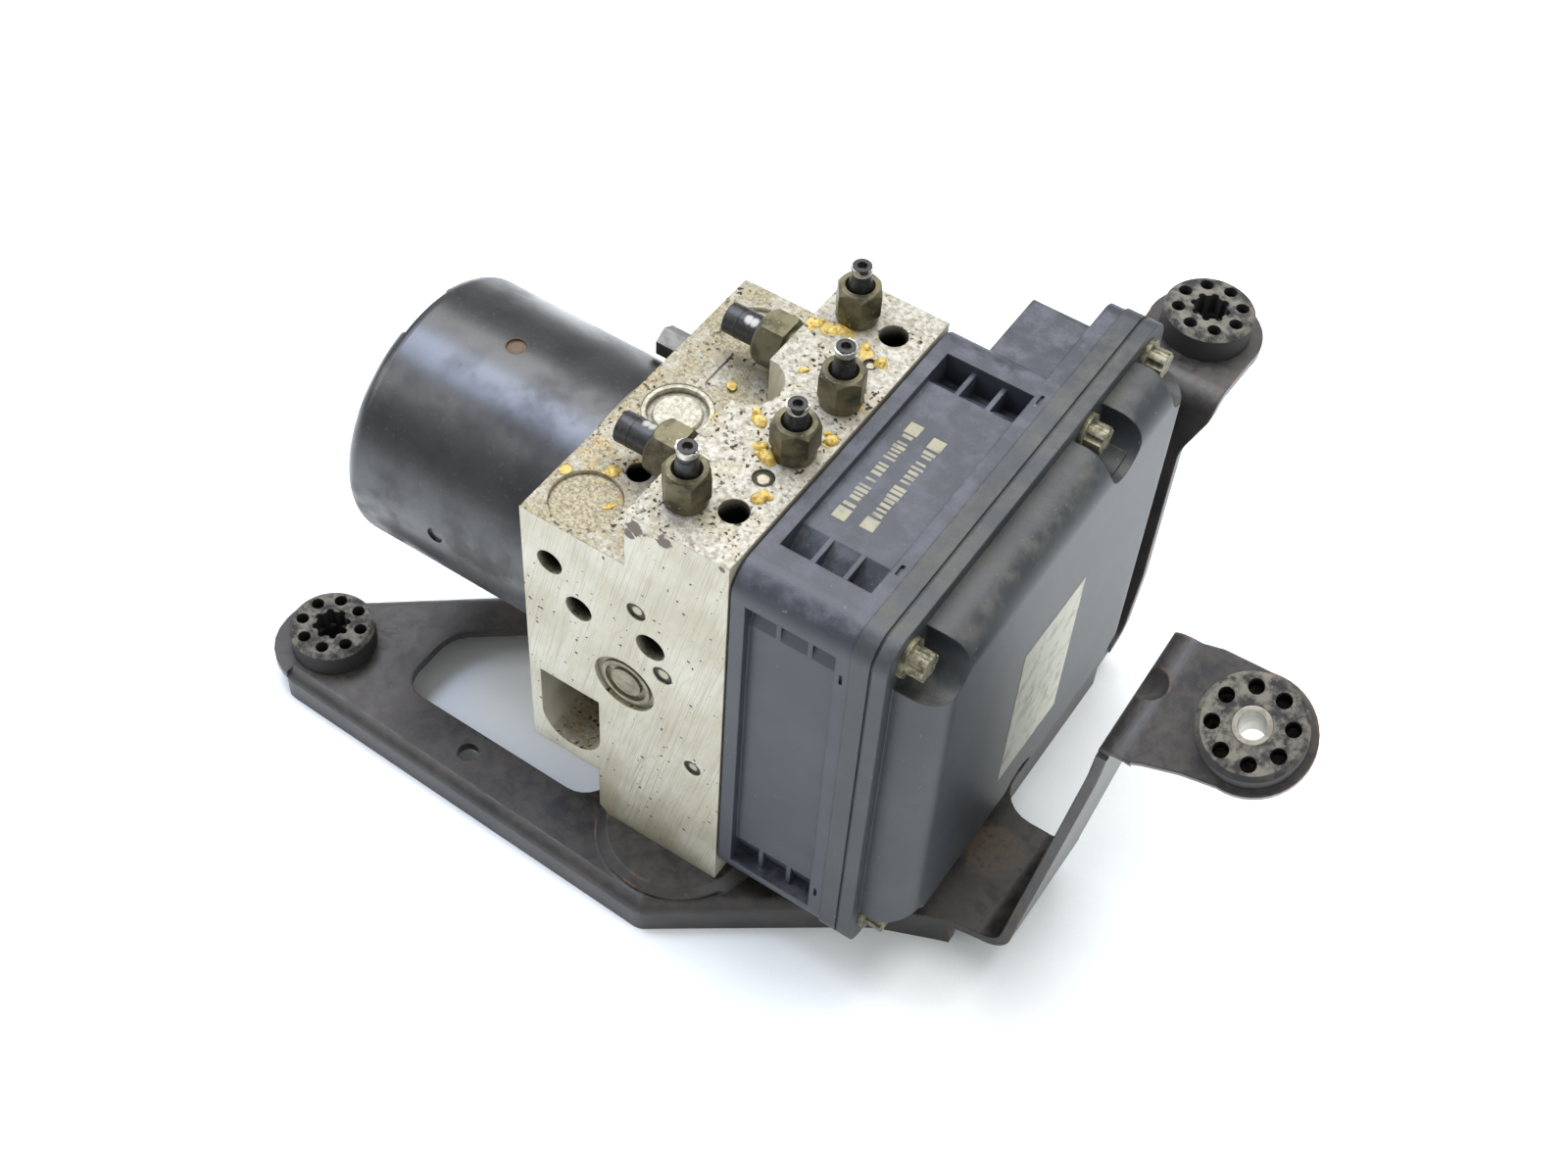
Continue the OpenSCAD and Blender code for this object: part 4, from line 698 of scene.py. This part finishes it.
# %% [markdown]
# ## Small pieces that the CAD leaves out
#
# Each one starts as a primitive, is shaped in edit mode, and ends at the origin with its place in
# its vertices, as the CAD nodes do. It then rides on the body that carries it. These helpers do
# what every piece needs: clear the selection, pick faces by their place or normal, and settle the
# finished piece.

# %% Helpers for modelling
def clear_selection():
    if bpy.context.object and bpy.context.object.mode != "OBJECT":
        bpy.ops.object.mode_set(mode="OBJECT")
    bpy.ops.object.select_all(action="DESELECT")


def settle(o, name, material, body="unit", smooth=40):
    """Names a finished piece, applies its transform and lets it ride on a body."""
    clear_selection()
    o.select_set(True)
    bpy.context.view_layer.objects.active = o
    bpy.ops.object.transform_apply(location=True, rotation=True, scale=True)
    o.name = name
    o.data.name = name
    o.data.materials.clear()
    o.data.materials.append(material)
    if smooth:
        bpy.ops.object.shade_smooth_by_angle(angle=math.radians(smooth))
    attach(o, body)
    return o


def pick_faces(o, test):
    """Selects the faces whose centre and normal pass a test, and stays in edit mode."""
    bpy.ops.object.mode_set(mode="EDIT")
    bpy.ops.mesh.select_mode(type="FACE")
    bpy.ops.mesh.select_all(action="DESELECT")
    bm = bmesh.from_edit_mesh(o.data)
    for f in bm.faces:
        f.select_set(bool(test(f.calc_center_median(), f.normal)))
    bm.select_flush(True)
    bmesh.update_edit_mesh(o.data)


# %% [markdown]
# ### Cut ends of the pipes
#
# Each pipe was cut with pliers, which left a bare, flared and torn rim that is a little squeezed.
# It could be a ring that is lofted from a torn outline, but a short tube is quicker and looks the
# same at this size. It starts as a cylinder. Its top face is inset and pushed down for the bore,
# the foot is drawn in to the pipe, and the rim's vertices are moved a little at random. The black
# coat widens where each pipe enters its nut, which a cone does.

# %% Torn rims
BARE = coated_metal("bare_cut_steel", "C6C4BC", "8E8B82", 0.38, 0.9, 0.0016, 0.6)
PIPE_RIM = (0.0031, 0.0024)  # radius and height of a flared rim
SLEEVE_RIM = (0.00438, 0.004)
SQUEEZES = (0.82, 0.7, 0.9, 0.75)  # how far each pipe's rim is pressed flat
FOOT = 0.83  # the rim's foot as a share of its radius


def cut_end(name, top, rim, seed, squeeze, foot=1.0, sleeve=False):
    """A torn rim whose end is at top. A sleeve's points to the left, a pipe's upwards."""
    radius, height = rim
    clear_selection()
    bpy.ops.mesh.primitive_cylinder_add(vertices=28, radius=radius, depth=height)
    o = bpy.context.object
    pick_faces(o, lambda c, n: n.z > 0.9)
    bpy.ops.mesh.inset(thickness=radius * 0.34)
    bpy.ops.mesh.extrude_region_move(TRANSFORM_OT_translate={"value": (0, 0, -height * 0.8)})
    bpy.ops.object.mode_set(mode="OBJECT")
    rng = random.Random(seed)
    for v in o.data.vertices:
        if v.co.z > height * 0.3:
            v.co.z -= rng.uniform(0, height * 0.25)
            v.co.y *= squeeze
            v.co.x *= 1.0 + rng.uniform(-0.05, 0.05)
        elif v.co.xy.length > radius * 0.9:
            v.co.xy *= foot
    if sleeve:
        o.rotation_euler = (0, -math.pi / 2, 0)
        o.location = Vector(top) + Vector((height / 2, 0, 0))
    else:
        o.rotation_euler = (0, 0, rng.uniform(0, 3))
        o.location = Vector(top) - Vector((0, 0, height / 2))
    if sleeve:
        return settle(o, name, SLEEVED)
    return settle(o, name, BARE)


print("made", BARE.name, "for rims", 2000 * PIPE_RIM[0], "and", 2000 * SLEEVE_RIM[0], "mm wide")

# %% Cut ends and coat feet
for i, squeeze in enumerate(SQUEEZES, 1):
    low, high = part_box("line_pipe_%d" % i)
    middle = Vector(((low.x + high.x) / 2, (low.y + high.y) / 2, high.z))
    cut_end("cut_end_%d" % i, middle, PIPE_RIM, i, squeeze, FOOT)
    clear_selection()
    mouth = middle - Vector((0, 0, high.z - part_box("line_nut_%d" % i)[1].z))
    bpy.ops.mesh.primitive_cone_add(
        vertices=32,
        radius1=0.0035,
        radius2=0.0026,
        depth=0.006,
        location=mouth + Vector((0, 0, 0.0008)),
    )
    settle(bpy.context.object, "coat_foot_%d" % i, PIPE)
for i, end in enumerate(("front", "rear")):
    low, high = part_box("master_pipe_" + end)
    top = (low.x, (low.y + high.y) / 2, (low.z + high.z) / 2)
    cut_end("torn_sleeve_" + end, top, SLEEVE_RIM, 11 + i, 0.94, sleeve=True)
print("cut ends made: 6, coat feet: 4")

# %% [markdown]
# ### Walls behind the two middle cover screws
#
# The round recesses at the cover's two middle screws cut a little into its inside, which leaves a
# slit. The CAD model isn't changed here, so a shallow cup closes each slit from within. It is a
# cylinder, hollowed out by an inset and an extrusion, and bisected so that only the part next to
# the slit is kept.

# %% Recess walls
cover_low, cover_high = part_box("ecu_cover")
FLANGE_X = cover_high.x - 0.0128
CUP_RADIUS, CUP_BORE = 0.0094, 0.00845
CUP_DEPTH, CUP_FLOOR = 0.0111, 0.00098
SCREW_INSET = 0.0075  # from the cover's edge to the screw's middle
CUT_INSET = 0.0138  # from the cover's edge to where the cup is cut off


def recess_wall(name, y, z, keep_low, cut_z):
    clear_selection()
    bpy.ops.mesh.primitive_cylinder_add(vertices=96, radius=CUP_RADIUS, depth=CUP_DEPTH)
    o = bpy.context.object
    pick_faces(o, lambda c, n: n.z > 0.9)
    bpy.ops.mesh.inset(thickness=CUP_RADIUS - CUP_BORE)
    push = (0, 0, CUP_FLOOR - CUP_DEPTH)
    bpy.ops.mesh.extrude_region_move(TRANSFORM_OT_translate={"value": push})
    bpy.ops.object.mode_set(mode="OBJECT")
    o.rotation_euler = (0, math.pi / 2, 0)
    o.location = (FLANGE_X - 0.001 + CUP_DEPTH / 2, y, z)
    bpy.ops.object.transform_apply(location=True, rotation=True, scale=True)
    bpy.ops.object.mode_set(mode="EDIT")
    bpy.ops.mesh.select_all(action="SELECT")
    bpy.ops.mesh.bisect(
        plane_co=(0, 0, cut_z),
        plane_no=(0, 0, 1),
        use_fill=True,
        clear_outer=keep_low,
        clear_inner=not keep_low,
    )
    bpy.ops.object.mode_set(mode="OBJECT")
    return settle(o, name, COVER, smooth=30)


top_z, bottom_z = cover_high.z, cover_low.z
top_y, bottom_y = cover_low.y + 0.09493, cover_low.y + 0.0689
recess_wall("recess_wall_top", top_y, top_z - SCREW_INSET, True, top_z - CUT_INSET)
recess_wall("recess_wall_bottom", bottom_y, bottom_z + SCREW_INSET, False, bottom_z + CUT_INSET)
print("recess walls made: 2")

# %% [markdown]
# ### Sealant drops
#
# Drops of yellow sealant sit round the nuts and in the corners of the deck. They could be bumps in
# the block's material, but a drop has an outline of its own. A ball of small triangles gets a few
# random bulges and hollows, is pressed flat to its own size, turned, and set half into the metal.

# %% Sealant and the shape of a drop
def sealant_material():
    """Aged sealant: half glossy, from brown where it is thin to yellow where it is thick."""
    m, t, shader, where = start("yellow_sealant", rough=0.4)
    patch = add(t, NOISE, where, 1 / 0.0015, 4.0, 0.7)
    t.links.new(
        add(t, MIX, add(t, SMOOTH, patch, 0.35, 0.65), linear("96701F"), linear("D6BE66")),
        shader.inputs["Base Color"],
    )
    surface(t, shader, patch, 0.0002, 0.0002)
    return m


SEALANT = sealant_material()


def drop(name, place, size, turn, seed):
    clear_selection()
    bpy.ops.mesh.primitive_ico_sphere_add(subdivisions=3, radius=1.0)
    o = bpy.context.object
    rng = random.Random(seed)
    bumps = []
    for _ in range(12):
        direction = Vector([rng.uniform(-1, 1) for _ in range(3)]).normalized()
        bumps.append((direction, rng.uniform(-0.35, 0.55)))
    for v in o.data.vertices:
        v.co *= 1.0 + sum(a * max(0.0, v.co.dot(d)) ** 3 for d, a in bumps)
    o.scale = size
    o.rotation_euler = (0, 0, turn)
    o.location = place
    return settle(o, name, SEALANT, smooth=80)


print("made", SEALANT.name)

# %% Sealant drops
cap_top = (CORNER.x + 0.0172, CORNER.y + 0.0135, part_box("deck_cap_front")[1].z)
DROPS = [
    (on_plateau(0.0497, 0.0342), (0.0021, 0.0019, 0.0017)),
    (on_plateau(0.0463, 0.0362), (0.0016, 0.0012, 0.0011)),
    (on_plateau(0.0418, 0.0428), (0.0016, 0.0022, 0.0013)),
    (on_plateau(0.0392, 0.0450), (0.0012, 0.0014, 0.0010)),
    (on_plateau(0.0594, 0.0474), (0.0017, 0.0016, 0.0013)),
    (on_plateau(0.0576, 0.0492), (0.0012, 0.0009, 0.0009)),
    (on_plateau(0.0555, 0.0223), (0.0016, 0.0016, 0.0014)),
    (on_plateau(0.0572, 0.0238), (0.0010, 0.0008, 0.0006)),
    (on_plateau(0.0490, 0.0800), (0.0017, 0.0014, 0.0011)),
    (on_plateau(0.0552, 0.0772), (0.0012, 0.0015, 0.0010)),
    (on_plateau(0.0400, 0.0806), (0.0030, 0.0013, 0.0006)),
    (on_plateau(0.0350, 0.0797), (0.0024, 0.0011, 0.0005)),
    (on_plateau(0.0591, 0.0612), (0.0010, 0.0009, 0.0009)),
    (on_plateau(0.0411, 0.0640), (0.0009, 0.0011, 0.0006)),
    (on_deck(0.0198, 0.0645), (0.0010, 0.0014, 0.0004)),
    (on_deck(0.0228, 0.0530), (0.0017, 0.0012, 0.0006)),
    (on_deck(0.0125, 0.0230), (0.0018, 0.0012, 0.0004)),
    (cap_top, (0.0008, 0.0016, 0.0003)),
]
for i, (place, size) in enumerate(DROPS):
    drop("sealant_%02d" % (i + 1), place[:3], size, 0.7 * i, 40 + i)
print("sealant drops made:", len(DROPS))

# %% [markdown]
# ### Label and etched patches
#
# The cover carries a plain pale label, and the housing two rows of pale etched patches. Both could
# be painted in the material, but as thin plates they keep sharp edges, and the label's edge catches
# the light. Each is a plane, extruded by a tenth of a millimetre or less.

# %% Pale finishes
def pale_material(name, base, dirt, rough):
    """Pale paper or etched plastic: matt, with blotches of grey dirt."""
    m, t, shader, where = start(name, rough)
    patch = add(t, NOISE, where, 1 / 0.006, 5.0, 0.7)
    t.links.new(
        add(t, MIX, add(t, SMOOTH, patch, 0.45, 0.75), linear(base), linear(dirt)),
        shader.inputs["Base Color"],
    )
    surface(t, shader, None)
    return m


LABEL = pale_material("label_paper", "C9C9B8", "8D8B7A", 0.5)
ETCHED = pale_material("etched_patch", "98947F", "68665E", 0.75)


print("made", LABEL.name, ETCHED.name)


# %% Thin plates
def plate(name, low, high, face, thickness, material, slot):
    """A thin plate. low and high are two corners in the plane, face is the axis that it faces."""
    clear_selection()
    bpy.ops.mesh.primitive_plane_add(size=1.0)
    o = bpy.context.object
    low, high = Vector(low), Vector(high)
    d = high - low
    o.location = (low + high) / 2
    if face == "X":
        o.rotation_euler = (math.pi / 2, 0, math.pi / 2)
        o.scale = (d.y, d.z, 1)
    else:
        o.scale = (d.x, d.y, 1)
    bpy.ops.object.transform_apply(location=True, rotation=True, scale=True)
    bpy.ops.object.mode_set(mode="EDIT")
    bpy.ops.mesh.select_all(action="SELECT")
    push = (thickness, 0, 0) if face == "X" else (0, 0, thickness)
    bpy.ops.mesh.extrude_region_move(TRANSFORM_OT_translate={"value": push})
    bpy.ops.mesh.select_all(action="SELECT")
    bpy.ops.mesh.normals_make_consistent(inside=False)
    bpy.ops.object.mode_set(mode="OBJECT")
    return settle(o, name, material, smooth=0)


print("helper ready:", plate.__name__)

# %% Label and etched patches
LABEL_THICKNESS = 0.0001
ETCHED_THICKNESS = 0.00003
ROWS = ((0.1525, 0.0283, 0.0616), (0.1598, 0.0293, 0.0603))  # x, first y and last y of each row
face_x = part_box("ecu_cover")[1].x
label_low, label_high = (face_x, 0.048, 0.039), (face_x, 0.080, 0.096)
plate("label", label_low, label_high, "X", LABEL_THICKNESS, LABEL, "cover_plastic")
rng = random.Random(5)
count = 0
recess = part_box("ecu_housing")[1].z - 0.0024
for x, y0, y1 in ROWS:
    y = y0
    while y < y1 + 0.0001:
        big = y == y0 or y > y1 - 0.0016
        wide = 0.0038 if big else rng.choice((0.0028, 0.0034))
        long = 0.0040 if big else rng.choice((0.0008, 0.0012))
        plate(
            "etched_%02d" % count,
            (x - wide / 2, y - long / 2, recess),
            (x + wide / 2, y + long / 2, recess),
            "Z",
            ETCHED_THICKNESS,
            ETCHED,
            "housing_plastic",
        )
        count += 1
        y += 0.0034 if big else rng.choice((0.0015, 0.0018, 0.0026))
        if y1 - 0.003 < y < y1 and not big:
            y = y1
print("plates made:", count + 1)

# %% [markdown]
# ## Springs
#
# Each accumulator spring stands on its cap and is pressed together as its piston moves down. Its
# coils could be bent one by one, but nobody sees them inside the block. Here each spring only gets
# a mesh of its own, and keeps its shape.

# %% Springs
for end in ("front", "rear"):
    spring = NODES["accumulator_spring_" + end]
    low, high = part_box("accumulator_spring_" + end)
    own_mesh(spring)

# %% [markdown]
# ## Studio
#
# The photo shows the part on a pale sheet in an even light. More lamps would make the floor white
# too, but would also bleach the part. So the floor glows a little for the camera and for
# reflections alone. The glow fades where the part stands close to the floor, which paints a
# darker shadow there.

# %% Floor
def floor_material():
    """A pale matt sheet that glows only for the camera and for glossy reflections, less near the
    part, which paints a shadow.
    """
    m = bpy.data.materials.new("pale_floor")
    m.use_nodes = True
    t = m.node_tree
    where = add(t, PLACE)
    blotch = add(t, NOISE, where, 1 / 0.12, 4.0, 0.6)
    colour = add(t, MIX, add(t, SMOOTH, blotch, 0.3, 0.7), linear("F0F3F4"), linear("E4EAEC"))
    diffuse = add(t, DIFFUSE, colour)
    # Painted shadow: occlusion fades the glow where the part is near
    near = add(t, OPENNESS, 0.12, samples=8)
    strength = add(t, MULTIPLY, add(t, SMOOTH, near, 0.45, 0.98), 0.4)
    glow = add(t, EMISSION, linear("FBFDFF"), strength)
    seen = add(t, MAXIMUM, add(t, CAMERA_RAY), add(t, GLOSSY_RAY))
    extra = add(t, MIX_SHADER, seen, add(t, EMISSION, (0, 0, 0, 1), 0.0), glow)
    both = add(t, ADD_SHADER, diffuse, extra)
    t.nodes.remove(t.nodes["Principled BSDF"])
    t.links.new(both, t.nodes["Material Output"].inputs["Surface"])
    return m


clear_selection()
floor_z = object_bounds()[0][2]
bpy.ops.mesh.primitive_plane_add(size=8.0, location=(0.15, 0.1, floor_z))
floor = bpy.context.object
floor.name = "floor"
floor.data.materials.append(floor_material())
print("floor at", round(floor_z, 4))

# %% [markdown]
# ## Light
#
# A white room gives the even base, and three large soft boxes give shape: one above and behind,
# and one on each side. A fourth, smaller and bluish, stands for the window whose sheen lies along
# the motor's can.

# %% Light
world = bpy.data.worlds.new("room")
bpy.context.scene.world = world
world.use_nodes = True
tree = world.node_tree
tree.nodes["Background"].inputs["Color"].default_value = linear("FFFFFF")
tree.nodes["Background"].inputs["Strength"].default_value = 0.55


def softbox(name, place, aim, size, power, colour="FFFFFF"):
    clear_selection()
    bpy.ops.object.light_add(type="AREA", location=place)
    lamp = bpy.context.object
    lamp.name = name
    lamp.data.shape = "RECTANGLE"
    lamp.data.size, lamp.data.size_y = size
    lamp.data.energy = power
    lamp.data.color = linear(colour)[:3]
    lamp.rotation_euler = (Vector(aim) - Vector(place)).to_track_quat("-Z", "Y").to_euler()
    return lamp


softbox("top_box", (0.0, 0.5, 1.3), (0.12, 0.05, 0.05), (1.4, 1.0), 20)
softbox("left_box", (-0.9, -0.5, 0.9), (0.1, 0.04, 0.06), (0.8, 0.8), 6)
softbox("right_box", (1.2, -0.2, 0.8), (0.16, 0.05, 0.06), (0.8, 0.8), 5)
softbox("window", (-0.50, 0.0, 1.15), (0.04, 0.08, 0.10), (0.5, 0.4), 6.5, "CFDDFF")
print("lights made: 4")

# %% [markdown]
# ## Camera
#
# The view could be matched by eye, but the block's straight edges in the photo fix it exactly. The
# camera was solved from them: a 49.65 mm lens on a 36 mm wide sensor, 51 degrees above the floor,
# with a slight roll.

# %% Camera
clear_selection()
bpy.ops.object.camera_add(location=(0.308645, -0.269355, 0.529521))
camera = bpy.context.object
camera.rotation_euler = [math.radians(a) for a in (38.502, -2.878, 33.385)]
camera.data.sensor_width = 36.0
camera.data.lens = 49.65
camera.data.clip_start = 0.01
bpy.context.scene.camera = camera
bpy.context.scene.view_settings.view_transform = "Standard"
print("camera at", [round(c, 4) for c in camera.location])
